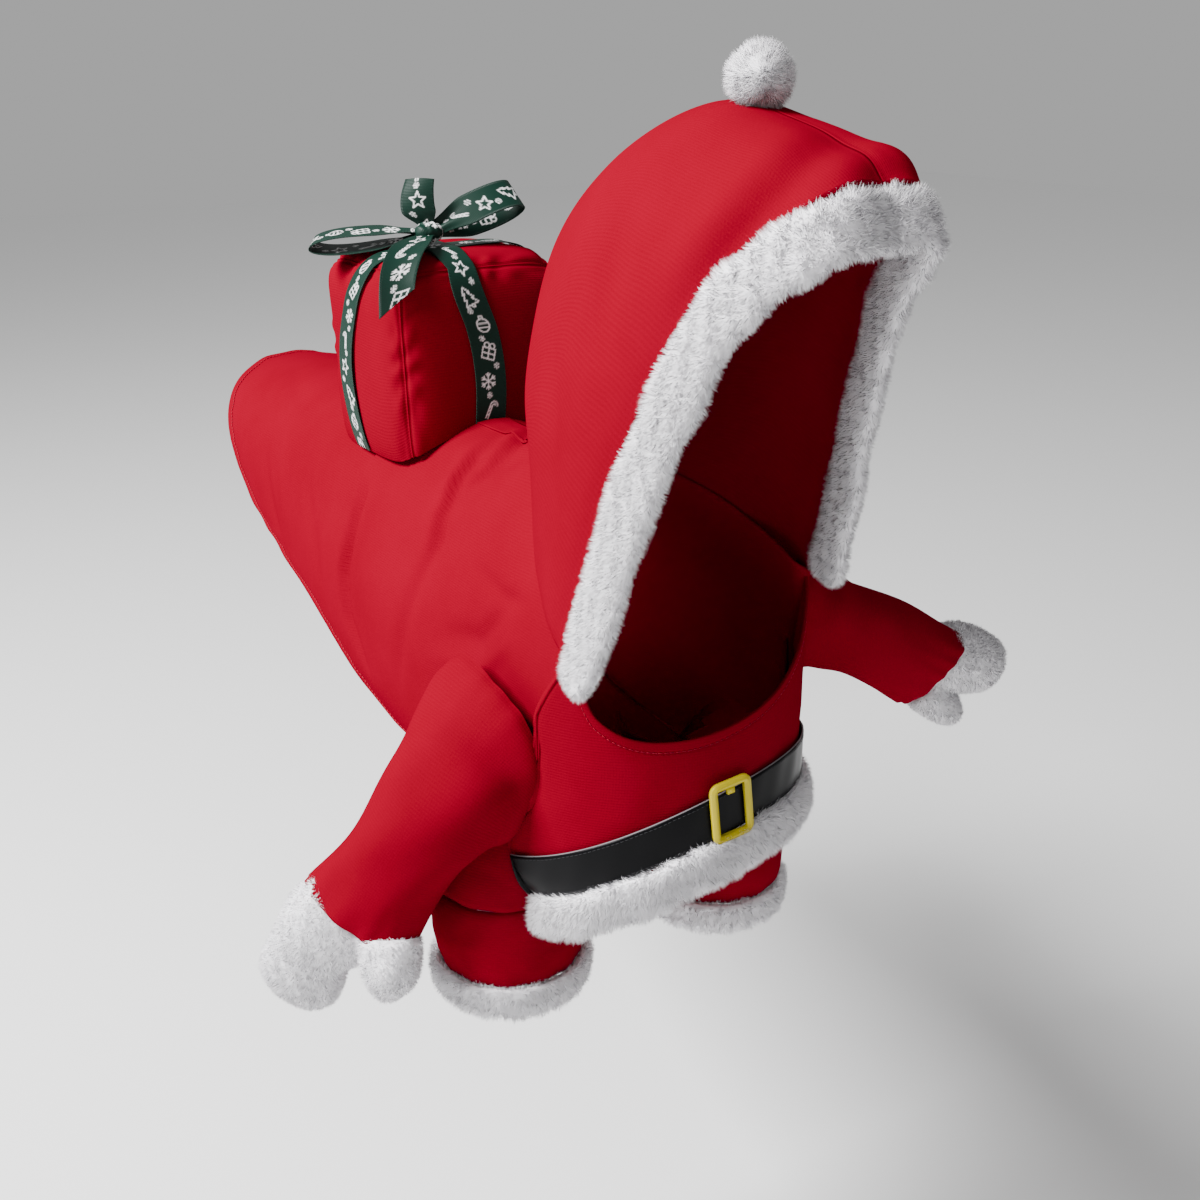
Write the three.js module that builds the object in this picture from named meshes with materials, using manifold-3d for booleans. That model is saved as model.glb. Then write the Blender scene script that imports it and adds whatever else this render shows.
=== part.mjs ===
// A dog's red hooded gift costume, modelled as worn with nobody in it: a coat over the back and
// sides, a chest and belly panel, a hood, two leg sleeves with plush cuffs, two lightly stuffed
// arms with plush mittens, a belt with a buckle, and a padded gift box sewn on the back.
// Millimetres. +X is the wearer's left, +Y points to the tail, +Z up.
// The origin is the inside of the coat at the withers, where the wearer's back carries it.
import * as THREE from "three";
import { mergeVertices } from "three/addons/utils/BufferGeometryUtils.js";
import Module from "manifold-3d";

const wasm = await Module();
wasm.setup();

// ---------- driving sizes ----------
const CLOTH = 2; // knit cloth wall
const GAP = 0.3; // between two pieces at a seam
const PLUSH = 10; // plush trim, with its fur
const CHEST = { half: 118, deep: 131, y: -115 }; // oval of the chest seen from above
const BELT = { width: 30, thick: 1.6, front: -177, bend: 0.003, turn: 72 };
const ASKEW = 0.2; // how much higher the front sits for each millimetre to the left
const SHOULDER_LIFT = 18; // how much higher the left shoulder corner sits
const LEFT_TUCK = 17; // how much narrower the left half of the hood's front edge is
const HEM = { top: -16.5, bottom: -48, turn: 77 }; // plush hem, measured from the belt's middle
const LEG = { y: -112, seam: -266, cuff: -327, foot: -350 };
const BOX = { x: 75, y: 69, z: 75, middle: [2, 127, 45], lean: 0.07, square: 5.2, saddle: 20 };
const RIBBON = { width: 25, thick: 1, lie: 1.1 };
const KNOT = { middle: [-16, 114, 132], x: 11, y: 9, z: 7.5 };
const BUCKLE = { wide: 30, tall: 43, bar: 5.2, deep: 3, bevel: 0.7, turn: -3.5, tilt: 0.12, up: 2 };
const BAND = { width: 32, thick: 12 };
const POMPOM = { radius: 18, middle: [0, -240, 243] };

// ---------- tables ----------
// Rings of the trunk along the back: half width, spine, widest height, keel, and how square.
const TRUNK = [
  { y: -246, half: 118, top: -8, mid: -150, keel: -216, square: 8 },
  { y: -195, half: 118, top: -8, mid: -150, keel: -252, square: 8 },
  { y: -115, half: 118, top: 10, mid: -150, keel: -272, square: 3.4 },
  { y: -60, half: 118, top: 12, mid: -150, keel: -272, square: 2.6 },
  { y: 0, half: 116, top: 2, mid: -146, keel: -268, square: 2.3 },
  { y: 100, half: 112, top: 3, mid: -138, keel: -262, square: 2.2 },
  { y: 200, half: 105, top: 3, mid: -128, keel: -240, square: 2.2 },
  { y: 300, half: 98, top: -1, mid: -108, keel: -205, square: 2.2 },
  { y: 400, half: 88, top: -10, mid: -90, keel: -170, square: 2.2 },
  { y: 470, half: 75, top: -20, mid: -85, keel: -150, square: 2.2 },
];
// The neck seam from the nape (u 0) to the shoulder corner (u 1).
const NECK = [
  { u: 0, x: 0, y: -58, z: 13 },
  { u: 0.2, x: 24, y: -70, z: 8 },
  { u: 0.42, x: 47, y: -97, z: -8 },
  { u: 0.65, x: 73, y: -131, z: -31 },
  { u: 0.85, x: 89, y: -168, z: -58 },
  { u: 1, x: 93, y: -195, z: -76 },
];
// The coat's outer edge, tail to side seam: place along the back and turn round the ring.
const EDGE = [
  { u: 0, y: 464, turn: 0 },
  { u: 0.1, y: 450, turn: 40 },
  { u: 0.2, y: 408, turn: 76 },
  { u: 0.3, y: 345, turn: 98 },
  { u: 0.42, y: 262, turn: 102 },
  { u: 0.53, y: 185, turn: 104 },
  { u: 0.63, y: 115, turn: 114 },
  { u: 0.73, y: 42, turn: 131 },
  { u: 0.84, y: -40, turn: 134 },
  { u: 0.93, y: -110, turn: 134 },
  { u: 1, y: -150, turn: 129 },
];
// The side seam between coat and chest panel, shoulder corner to hem.
const SIDE_SEAM = [
  { z: -260, y: -154 },
  { z: -236, y: -155 },
  { z: -216, y: -153 },
  { z: -199, y: -161 },
  { z: -180, y: -173 },
  { z: -148, y: -178 },
  { z: -118, y: -175 },
  { z: -76, y: -195 },
];
// The scooped neckline of the chest panel, by the turn from the front.
const NECKLINE = [
  { turn: -53, z: -75 },
  { turn: -44, z: -93 },
  { turn: -37, z: -112 },
  { turn: -28, z: -124 },
  { turn: -14, z: -126 },
  { turn: 0, z: -120 },
  { turn: 14, z: -110 },
  { turn: 30, z: -93 },
  { turn: 43, z: -76 },
  { turn: 53, z: -58 },
];
// The front edge of the hood on the right side, from the ridge (v 0) to the neck seam.
const HOOD_FRONT = [
  { v: 0, x: 0, y: -331, z: 197 },
  { v: 0.12, x: 24, y: -334, z: 197 },
  { v: 0.23, x: 42, y: -328, z: 190 },
  { v: 0.36, x: 58, y: -306, z: 172 },
  { v: 0.5, x: 70, y: -278, z: 139 },
  { v: 0.62, x: 78, y: -255, z: 93 },
  { v: 0.75, x: 84, y: -230, z: 38 },
  { v: 0.88, x: 89, y: -210, z: -24 },
  { v: 1, x: 92, y: -194, z: -77 },
];
// Arches of the hood from the band (u 0) to the nape (u 1): where the ridge is, which point of
// the neck seam the arch comes down to, how wide and square its roof is, and its side's swell.
const HOOD = [
  { u: 0, y: -334, z: 198, seam: 1, roof: 44, swell: 0, square: 2.6 },
  { u: 0.15, y: -308, z: 213, seam: 0.94, roof: 54, swell: 2, square: 2.5 },
  { u: 0.3, y: -264, z: 225, seam: 0.86, roof: 64, swell: 4, square: 2.3 },
  { u: 0.45, y: -215, z: 231, seam: 0.76, roof: 72, swell: 6, square: 2.2 },
  { u: 0.6, y: -152, z: 209, seam: 0.64, roof: 73, swell: 8, square: 2.1 },
  { u: 0.75, y: -103, z: 166, seam: 0.5, roof: 64, swell: 11, square: 2 },
  { u: 0.88, y: -74, z: 98, seam: 0.3, roof: 40, swell: 12, square: 2 },
  { u: 1, y: -58, z: 13.5, seam: 0, roof: 0, swell: 0, square: 2 },
];
// Stuffed arms: middle of each section, its half height and half thickness.
const ARM_RIGHT = [
  { t: 0, x: -76, y: -122, z: -138, tall: 44, thick: 40 },
  { t: 0.2, x: -108, y: -122, z: -158, tall: 45, thick: 42 },
  { t: 0.45, x: -140, y: -124, z: -186, tall: 41, thick: 39 },
  { t: 0.75, x: -170, y: -110, z: -231, tall: 37, thick: 31 },
  { t: 1, x: -192, y: -94, z: -275, tall: 44, thick: 22 },
];
const ARM_LEFT = [
  { t: 0, x: 72, y: -158, z: -82, tall: 38, thick: 34 },
  { t: 0.2, x: 102, y: -164, z: -93, tall: 34, thick: 31 },
  { t: 0.45, x: 136, y: -174, z: -110, tall: 32, thick: 29 },
  { t: 0.75, x: 174, y: -188, z: -131, tall: 34, thick: 26 },
  { t: 1, x: 208, y: -203, z: -154, tall: 37, thick: 21 },
];
// Mittens: fingers and thumb, each a short run of sections like the arm's.
const FINGERS_RIGHT = [
  { t: 0, x: -192.3, y: -93.8, z: -275.6, tall: 44, thick: 20 },
  { t: 0.25, x: -199, y: -84, z: -291, tall: 47, thick: 25 },
  { t: 0.5, x: -210, y: -63, z: -314, tall: 36, thick: 25 },
  { t: 0.85, x: -220, y: -45, z: -343, tall: 31, thick: 22 },
  { t: 1, x: -224, y: -39, z: -356, tall: 19, thick: 13 },
];
const THUMB_RIGHT = [
  { t: 0, x: -183, y: -116, z: -283, tall: 26, thick: 17 },
  { t: 0.6, x: -187, y: -117, z: -304, tall: 25, thick: 19 },
  { t: 1, x: -190, y: -112, z: -322, tall: 13, thick: 11 },
];
const FINGERS_LEFT = [
  { t: 0, x: 208.6, y: -203.2, z: -149, tall: 28, thick: 19 },
  { t: 0.25, x: 222, y: -209, z: -146, tall: 27, thick: 23 },
  { t: 0.5, x: 236, y: -216, z: -150, tall: 25, thick: 22 },
  { t: 0.85, x: 248, y: -222, z: -152, tall: 20, thick: 18 },
  { t: 1, x: 254, y: -225, z: -153, tall: 13, thick: 11 },
];
const THUMB_LEFT = [
  { t: 0, x: 209, y: -201, z: -174, tall: 17, thick: 14 },
  { t: 0.6, x: 224, y: -207, z: -188, tall: 13, thick: 14 },
  { t: 1, x: 231, y: -209, z: -196, tall: 8, thick: 9 },
];
// Bow tails: their middle line and the direction of their width, from the knot out.
const TAIL_UP = [
  { x: -16, y: 116, z: 136, wx: 0.84, wy: -0.55, wz: 0.1 },
  { x: -22, y: 117, z: 147, wx: 0.84, wy: -0.55, wz: 0.1 },
  { x: -22, y: 118, z: 160, wx: 0.8, wy: -0.55, wz: 0.25 },
  { x: -18, y: 119, z: 174, wx: 0.75, wy: -0.5, wz: 0.4 },
];
const TAIL_DOWN = [
  { x: -18, y: 111, z: 131, wx: 0.8, wy: -0.6, wz: 0 },
  { x: -33, y: 97, z: 130, wx: 0.8, wy: -0.6, wz: 0 },
  { x: -50, y: 82, z: 125, wx: 0.82, wy: -0.57, wz: -0.05 },
  { x: -62, y: 71, z: 112, wx: 0.84, wy: -0.5, wz: -0.15 },
  { x: -67, y: 66, z: 96, wx: 0.84, wy: -0.45, wz: -0.25 },
  { x: -69, y: 64, z: 78, wx: 0.84, wy: -0.45, wz: -0.25 },
];
const LOOPS = {
  bow_loop_right: { tip: [-88, 163, 123], flat: [0.33, 0.92, 0.15], height: 8 },
  bow_loop_left: { tip: [54, 106, 155], flat: [-0.15, 0.7, 0.65], height: 12 },
};
// How far the ribbons stray from the middle of the box, by the turn round it from the top.
const DRIFT_CROSS = [
  { turn: -128, by: 8 },
  { turn: -105, by: 22 },
  { turn: -85, by: 18 },
  { turn: -62, by: 0 },
  { turn: -42, by: -20 },
  { turn: 0, by: -18 },
  { turn: 45, by: -8 },
  { turn: 128, by: 0 },
];
const DRIFT_LENGTH = [
  { turn: -128, by: -5 },
  { turn: -100, by: -2 },
  { turn: -74, by: -6 },
  { turn: -50, by: -17 },
  { turn: -20, by: -16 },
  { turn: 0, by: -15 },
  { turn: 45, by: -6 },
  { turn: 128, by: 0 },
];
const ARM_FLAT = { right: [-0.6, 0.75, 0.2], left: [0, 0.41, -0.91] }; // width of the flat hand
// The largest folds of the coat: a trough or a ridge from one point to the other.
const FOLDS = [
  { x0: -62, y0: 52, z0: -22, x1: -24, y1: -52, z1: 2, wide: 13, deep: -4 },
  { x0: -84, y0: 30, z0: -55, x1: -50, y1: -70, z1: -22, wide: 15, deep: 3.5 },
  { x0: -98, y0: 120, z0: -70, x1: -110, y1: 60, z1: -165, wide: 14, deep: -3.5 },
  { x0: -112, y0: -10, z0: -110, x1: -116, y1: -60, z1: -190, wide: 13, deep: 3.5 },
  { x0: 60, y0: 50, z0: -22, x1: 26, y1: -48, z1: 2, wide: 13, deep: -3.5 },
  { x0: 88, y0: 20, z0: -60, x1: 56, y1: -80, z1: -28, wide: 16, deep: 3.5 },
  { x0: 100, y0: 150, z0: -80, x1: 111, y1: 50, z1: -150, wide: 15, deep: -3 },
  { x0: 92, y0: 300, z0: -60, x1: 98, y1: 200, z1: -120, wide: 16, deep: -3 },
];

// ---------- small maths ----------
const rad = THREE.MathUtils.degToRad;
const mix = THREE.MathUtils.lerp;
const smooth = THREE.MathUtils.smoothstep;
const signed = (value, power) => Math.sign(value) * Math.abs(value) ** power;

// Reads one column of a table at a place along its first column, on a smooth curve.
function read(rows, by, column, at) {
  const last = rows.length - 1;
  let i = 0;
  while (i < last - 1 && at > rows[i + 1][by]) i += 1;
  const slope = (k) => {
    const a = rows[Math.max(0, k - 1)];
    const b = rows[Math.min(last, k + 1)];
    return (b[column] - a[column]) / (b[by] - a[by]);
  };
  const span = rows[i + 1][by] - rows[i][by];
  const t = THREE.MathUtils.clamp((at - rows[i][by]) / span, 0, 1);
  const [p, q] = [rows[i][column], rows[i + 1][column]];
  const [m, n] = [slope(i) * span, slope(i + 1) * span];
  const t2 = t * t;
  const t3 = t2 * t;
  return (2 * t3 - 3 * t2 + 1) * p + (t3 - 2 * t2 + t) * m + (3 * t2 - 2 * t3) * q + (t3 - t2) * n;
}

// The trunk's half width at a place along the back: an oval in front of the shoulders.
function halfWidth(y) {
  if (y >= CHEST.y) return read(TRUNK, "y", "half", y);
  return CHEST.half * Math.sqrt(Math.max(0, 1 - ((y - CHEST.y) / CHEST.deep) ** 2));
}

// A point of the trunk by its place along the back and its turn in degrees from the spine.
function trunk(y, turn) {
  const [top, mid, keel, square] = ["top", "mid", "keel", "square"].map((c) => read(TRUNK, "y", c, y));
  const c = signed(Math.cos(rad(turn)), 2 / square);
  const x = halfWidth(y) * signed(Math.sin(rad(turn)), 2 / square);
  return new THREE.Vector3(x, y, mid + (c > 0 ? top - mid : mid - keel) * c);
}

// The turn at which the trunk has a given height.
function turnAt(y, z) {
  const [top, mid, keel, square] = ["top", "mid", "keel", "square"].map((c) => read(TRUNK, "y", c, y));
  const rise = THREE.MathUtils.clamp((z - mid) / (z > mid ? top - mid : mid - keel), -1, 1);
  return THREE.MathUtils.radToDeg(Math.acos(signed(rise, square / 2)));
}

// A point of the neck seam; the left shoulder corner sits a little higher than the right.
function neckSeam(a, side) {
  const [x, y, z] = ["x", "y", "z"].map((c) => read(NECK, "u", c, a));
  return new THREE.Vector3(side * x, y, z + (side > 0 ? SHOULDER_LIFT * a * a : 0));
}

// How far a point of the coat is moved out or in by the folds.
function foldDepth(point) {
  let depth = 0;
  for (const f of FOLDS) {
    const line = new THREE.Line3(new THREE.Vector3(f.x0, f.y0, f.z0), new THREE.Vector3(f.x1, f.y1, f.z1));
    const along = line.closestPointToPointParameter(point, true);
    const away = line.at(along, new THREE.Vector3()).distanceTo(point);
    depth += f.deep * Math.exp(-((away / f.wide) ** 2)) * Math.sin(Math.PI * mix(0.12, 0.88, along));
  }
  return depth;
}

// The outward direction of a surface at (u, v), by small steps along it.
function facing(surface, u, v, step = 1e-3) {
  const du = surface(u + step, v).sub(surface(u - step, v));
  const dv = surface(u, v + step).sub(surface(u, v - step));
  return du.cross(dv).normalize();
}

// ---------- makers of solids ----------
// A closed mesh from points and triangles, with its shared points merged and its faces out.
function closed(points, triangles) {
  const g = new THREE.BufferGeometry();
  g.setAttribute("position", new THREE.Float32BufferAttribute(points.flatMap((p) => [p.x, p.y, p.z]), 3));
  g.setIndex(triangles);
  const whole = mergeVertices(g, 1e-3);
  const index = [...whole.index.array];
  const kept = [];
  for (let i = 0; i < index.length; i += 3) {
    const [a, b, c] = index.slice(i, i + 3);
    if (a !== b && b !== c && c !== a) kept.push(a, b, c);
  }
  const p = whole.getAttribute("position");
  const at = (k) => new THREE.Vector3().fromBufferAttribute(p, k);
  let volume = 0;
  for (let i = 0; i < kept.length; i += 3) {
    volume += at(kept[i]).dot(at(kept[i + 1]).cross(at(kept[i + 2])));
  }
  if (volume < 0) kept.reverse();
  whole.setIndex(kept);
  return whole;
}

// A cloth wall over a surface of (u, v), from one distance off it to another along its facing.
// side is -1 where the surface's own facing points inwards; wrap joins the last row to the first.
function wall(surface, across, along, options) {
  const { from = -CLOTH, to = 0, side = 1, wrap = false, us = [0, 1], vs = [0, 1] } = options;
  const rows = wrap ? across : across + 1;
  const points = [[], []];
  for (let i = 0; i < rows; i += 1) {
    for (let j = 0; j <= along; j += 1) {
      const [s, t] = [i / across, j / along];
      const [u, v] = [mix(us[0], us[1], s), mix(vs[0], vs[1], t)];
      const out = facing(surface, u, v).multiplyScalar(side);
      const at = surface(u, v);
      const [inner, outer] = [from, to].map((d) => (typeof d === "function" ? d(s, t) : d));
      points[0].push(at.clone().addScaledVector(out, outer));
      points[1].push(at.clone().addScaledVector(out, inner));
    }
  }
  const count = points[0].length;
  const n = along + 1;
  const triangles = [];
  const quad = (a, b, c, d) => triangles.push(a, b, c, a, c, d);
  for (let i = 0; i < across; i += 1) {
    const k = ((i + 1) % rows) * n;
    for (let j = 0; j < along; j += 1) {
      quad(i * n + j, k + j, k + j + 1, i * n + j + 1);
      quad(count + i * n + j, count + i * n + j + 1, count + k + j + 1, count + k + j);
    }
    quad(i * n, count + i * n, count + k, k);
    quad(i * n + along, k + along, count + k + along, count + i * n + along);
  }
  if (!wrap) {
    const e = across * n;
    for (let j = 0; j < along; j += 1) {
      quad(j, j + 1, count + j + 1, count + j);
      quad(e + j, count + e + j, count + e + j + 1, e + j + 1);
    }
  }
  return closed([...points[0], ...points[1]], triangles);
}

// A closed solid over rings of points, with its two ends filled in.
function loft(ring, sections, sides) {
  const points = [];
  for (let i = 0; i <= sections; i += 1) {
    for (let j = 0; j < sides; j += 1) points.push(ring(i / sections, j / sides));
  }
  const triangles = [];
  for (let i = 0; i < sections; i += 1) {
    const k = (i + 1) * sides;
    for (let j = 0; j < sides; j += 1) {
      const m = (j + 1) % sides;
      triangles.push(i * sides + j, k + j, k + m, i * sides + j, k + m, i * sides + m);
    }
  }
  for (const [row, turned] of [[0, false], [sections, true]]) {
    const middle = new THREE.Vector3();
    for (let j = 0; j < sides; j += 1) middle.addScaledVector(points[row * sides + j], 1 / sides);
    points.push(middle);
    const c = points.length - 1;
    for (let j = 0; j < sides; j += 1) {
      const [a, b] = [row * sides + j, row * sides + ((j + 1) % sides)];
      triangles.push(c, ...(turned ? [b, a] : [a, b]));
    }
  }
  return closed(points, triangles);
}

// The points of a geometry as vectors.
function pointsOf(geometry) {
  const p = geometry.getAttribute("position");
  return Array.from({ length: p.count }, (_, i) => new THREE.Vector3().fromBufferAttribute(p, i));
}

// A geometry as a manifold-3d solid, and back.
function solid(geometry) {
  const bare = new THREE.BufferGeometry().setAttribute("position", geometry.getAttribute("position"));
  bare.setIndex(geometry.index);
  const merged = mergeVertices(bare, 1e-3);
  return new wasm.Manifold(
    new wasm.Mesh({
      numProp: 3,
      vertProperties: new Float32Array(merged.getAttribute("position").array),
      triVerts: new Uint32Array(merged.index.array),
    }),
  );
}

function geometryOf(shape) {
  const mesh = shape.getMesh();
  const g = new THREE.BufferGeometry();
  g.setAttribute("position", new THREE.BufferAttribute(mesh.vertProperties, 3));
  g.setIndex(new THREE.BufferAttribute(mesh.triVerts, 1));
  return g;
}

// What is left of a geometry once others are cut away: the largest body of the rest.
function cut(geometry, ...tools) {
  let rest = solid(geometry);
  for (const tool of tools) rest = rest.subtract(tool);
  const bodies = rest.decompose().sort((a, b) => b.volume() - a.volume());
  return geometryOf(bodies[0]);
}

// ---------- materials and the group ----------
const finish = (color, roughness) => new THREE.MeshStandardMaterial({ color, roughness, metalness: 0 });
const RED_KNIT = finish(0xb3001b, 0.9);
const WHITE_PLUSH = finish(0xf2eef2, 1);
const BLACK_BELT = finish(0x0b0b0b, 0.35);
const YELLOW_PLASTIC = finish(0xd8c21a, 0.35);
const GREEN_SATIN = finish(0x0b4a35, 0.45);
const costume = new THREE.Group();

function add(name, geometry, material) {
  const mesh = new THREE.Mesh(geometry, material);
  mesh.name = name;
  costume.add(mesh);
}

// ---------- the trunk's panels ----------
// The coat as a cape: u from the right shoulder over the nape to the left, v from neck to edge.
function coat(u, v) {
  const a = Math.abs(u);
  const side = Math.sign(u) || 1;
  const neck = neckSeam(a, side);
  const neckTurn = a < 0.02 ? 0 : turnAt(neck.y, neck.z);
  const turn = mix(neckTurn, read(EDGE, "u", "turn", a), v);
  const straight = mix(neck.y, read(EDGE, "u", "y", a), v);
  const height = trunk(straight, turn).z;
  const seam = read(SIDE_SEAM, "z", "y", THREE.MathUtils.clamp(height, -260, -76)) - straight;
  const point = trunk(straight + seam * smooth(a, 0.72, 1), turn);
  const first = trunk(neck.y, neckTurn);
  const fade = Math.exp(-((v * 2.2) ** 2));
  point.x = side * (point.x + (Math.abs(neck.x) - first.x) * fade);
  point.z += (neck.z - first.z) * fade;
  return point;
}

// The coat with its folds.
function foldedCoat(u, v) {
  const point = coat(u, v);
  const lift = foldDepth(point);
  if (Math.abs(lift) < 0.02) return point;
  const out = facing(coat, u, v);
  if (out.x * point.x < 0) out.negate();
  return point.addScaledVector(out, lift);
}

// A point of the chest by its turn from the front and its height; the sides follow the trunk.
function chest(turn, z) {
  const a = Math.abs(turn);
  const y = CHEST.y - CHEST.deep * Math.cos(rad(turn));
  const ring = trunk(y, turnAt(y, z)).x;
  const x = mix(CHEST.half * Math.sin(rad(a)), ring, smooth(a, 20, 50));
  return new THREE.Vector3(x * Math.sign(turn), y, z);
}

// The height of the belt's middle, a little higher on the left.
function beltHeight(turn) {
  const x = CHEST.half * Math.sin(rad(turn));
  return BELT.front + ASKEW * x - BELT.bend * x * x;
}

// The turn of the side seam at a height.
function seamTurn(z) {
  const y = read(SIDE_SEAM, "z", "y", THREE.MathUtils.clamp(z, -260, -76)) - GAP;
  return THREE.MathUtils.radToDeg(Math.acos((CHEST.y - y) / CHEST.deep));
}

const chestFoot = (turn) => beltHeight(turn) + HEM.bottom + 7;

// The chest panel: u from right to left, v from the neckline to under the hem.
function chestPanel(u, v) {
  const z = mix(read(NECKLINE, "turn", "z", u * 53), chestFoot(u * 68), v);
  return chest(u * seamTurn(z), z);
}

// The turn of the lower seam that joins the belly panel to the chest panel or the coat.
function lowTurn(y, side) {
  const coatTurn = read([...EDGE].reverse(), "y", "turn", y);
  const a = THREE.MathUtils.radToDeg(Math.acos(THREE.MathUtils.clamp((CHEST.y - y) / CHEST.deep, -1, 1)));
  const chestTurn = turnAt(y, chestFoot(side * a) - 1);
  return mix(chestTurn, coatTurn, smooth(y, -175, -150)) + 0.25;
}

// The belly panel: u from the front to the rear, v from left to right under the keel.
function belly(u, v) {
  const y = mix(-236, 40, u);
  return trunk(y, mix(lowTurn(y, 1), 360 - lowTurn(y, -1), v));
}

// A filled body just outside a stretch of the trunk, used only to cut what rests on it.
const core = solid(loft((s, t) => {
  const y = mix(-244, 300, s);
  const turn = 360 * t;
  const out = new THREE.Vector3(Math.sin(rad(turn)), 0, Math.cos(rad(turn)));
  return trunk(y, turn).addScaledVector(out, GAP + 0.1);
}, 44, 48));
const COAT_GRID = [30, 12];
const CHEST_GRID = [20, 6];
const PAD = { from: -6, to: 2 * GAP };
const coatPad = solid(wall(foldedCoat, ...COAT_GRID, { ...PAD, us: [-1, 1], vs: [-0.006, 1.002] }));
const chestPad = solid(wall(chestPanel, ...CHEST_GRID, {
  ...PAD,
  side: -1,
  us: [-1.006, 1.006],
  vs: [-0.012, 1.012],
}));

// ---------- legs ----------
// Rings of a leg sleeve: middle and radius at each height.
const LEG_RINGS = [
  { z: -352, x: 89, r: 49 },
  { z: -327, x: 89, r: 50.5 },
  { z: -300, x: 89, r: 52 },
  { z: -266, x: 89, r: 53.5 },
  { z: -238, x: 84, r: 54 },
  { z: -212, x: 73, r: 54 },
  { z: -185, x: 58, r: 52 },
];

// A point round the leg sleeve, the lower edges tilted a little towards the inside.
function legPoint(side, z, t, extra = 0) {
  const [x, r] = [read(LEG_RINGS, "z", "x", z), read(LEG_RINGS, "z", "r", z) + extra];
  const turn = 2 * Math.PI * t;
  return new THREE.Vector3(side * (x + r * Math.cos(turn)), LEG.y + r * Math.sin(turn), z);
}

// ---------- arms ----------
// A point round a stuffed arm's section; flat is the direction of the hand's width.
function armPoint(rows, flat, t, s) {
  const at = (c, place = t) => read(rows, "t", c, THREE.MathUtils.clamp(place, 0, 1));
  const middle = (place) => new THREE.Vector3(at("x", place), at("y", place), at("z", place));
  const ahead = middle(t + 0.1).sub(middle(t - 0.1)).normalize();
  const thick = ahead.clone().cross(new THREE.Vector3(...flat)).normalize();
  const tall = thick.clone().cross(ahead);
  const c = signed(Math.cos(2 * Math.PI * s), 0.9);
  const d = signed(Math.sin(2 * Math.PI * s), 0.9);
  return middle(t).addScaledVector(tall, c * at("tall")).addScaledVector(thick, d * at("thick"));
}

// ---------- hood ----------
// A point of one half of the hood: u from the band to the nape, v from the ridge to the neck seam.
function hood(u, v, side) {
  const row = (c, at = u) => read(HOOD, "u", c, at);
  const arch = (at) => {
    const foot = neckSeam(THREE.MathUtils.clamp(row("seam", at), 0, 1), 1);
    foot.z -= SHOULDER_LIFT * row("seam", at) ** 2 - GAP;
    const turn = rad(90 * v);
    const down = 1 - signed(Math.cos(turn), 2 / row("square", at));
    const round = row("roof", at) * signed(Math.sin(turn), 2 / row("square", at));
    const x = round + (foot.x - row("roof", at)) * down + row("swell", at) * Math.sin(2 * turn);
    return new THREE.Vector3(x, mix(row("y", at), foot.y, down), mix(row("z", at), foot.z, down));
  };
  const point = arch(u);
  const front = new THREE.Vector3(...["x", "y", "z"].map((c) => read(HOOD_FRONT, "v", c, v)));
  if (side > 0) front.x -= LEFT_TUCK * Math.sin(Math.PI * Math.min(v / 0.8, 1));
  point.addScaledVector(front.sub(arch(0)), (1 - smooth(u, 0, 0.75)) ** 1.5);
  if (side > 0) point.z += SHOULDER_LIFT * row("seam") ** 2 * v * v;
  point.x = side * (point.x + GAP / 2);
  return point;
}

// The plush band round the face opening: u from the right end over the ridge to the left end.
function bandPoint(u, s, grow = 0) {
  const side = Math.sign(u) || 1;
  const a = Math.min(Math.abs(u), 1);
  const at = hood(0, a, side);
  const back = hood(0.02, a, side).sub(at).normalize();
  const run = hood(0, Math.min(a + 0.01, 1), side).sub(hood(0, Math.max(a - 0.01, 0), side)).normalize();
  const ahead = back.negate().addScaledVector(run, -back.dot(run)).normalize();
  ahead.z -= 1.5 * (1 - smooth(a, 0, 0.5));
  ahead.addScaledVector(run, -ahead.dot(run)).normalize();
  const out = run.clone().cross(ahead).normalize();
  if (out.z < 0 && a < 0.2) out.negate();
  if (out.x * side < 0 && a >= 0.2) out.negate();
  const round = 2 * Math.PI * s;
  const c = signed(Math.cos(round), 0.6);
  const d = signed(Math.sin(round), 0.8);
  return at
    .addScaledVector(ahead, GAP + BAND.width / 2 - (BAND.width / 2 + grow) * c)
    .addScaledVector(out, (BAND.thick / 2 + grow) * d + 1);
}

// ---------- gift box ----------
// A point on the padded cube from a direction whose largest part is 1: crowned faces, soft edges.
function boxPoint(a, b, c) {
  const swell = [a, b, c].reduce((sum, k) => sum + Math.abs(k) ** BOX.square, 0) ** (1 / BOX.square);
  const [x, y, z] = [(BOX.x * a) / swell, (BOX.y * b) / swell, (BOX.z * c) / swell];
  const drop = BOX.saddle * (x / BOX.x) ** 2 * smooth(-z, 0, BOX.z);
  return new THREE.Vector3(BOX.middle[0] + x, BOX.middle[1] + y + BOX.lean * z, BOX.middle[2] + z - drop);
}

const BOX_FACES = {
  box_front: (p, q) => boxPoint(p, -1, q),
  box_back: (p, q) => boxPoint(-p, 1, q),
  box_left: (p, q) => boxPoint(1, p, q),
  box_right: (p, q) => boxPoint(-1, -p, q),
  box_top: (p, q) => boxPoint(p, q, 1),
};

// A ribbon round the box: turn runs from one side over the top to the other, v across its width.
function ribbonPoint(turn, v, crosswise) {
  const [c, s] = [Math.cos(rad(turn)), Math.sin(rad(turn))];
  const m = Math.max(Math.abs(c), Math.abs(s));
  const drift = read(crosswise ? DRIFT_CROSS : DRIFT_LENGTH, "turn", "by", turn);
  const w = (RIBBON.width * (v - 0.5) + drift) / BOX.x;
  return crosswise ? boxPoint(s / m, w, c / m) : boxPoint(w, s / m, c / m);
}

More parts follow.
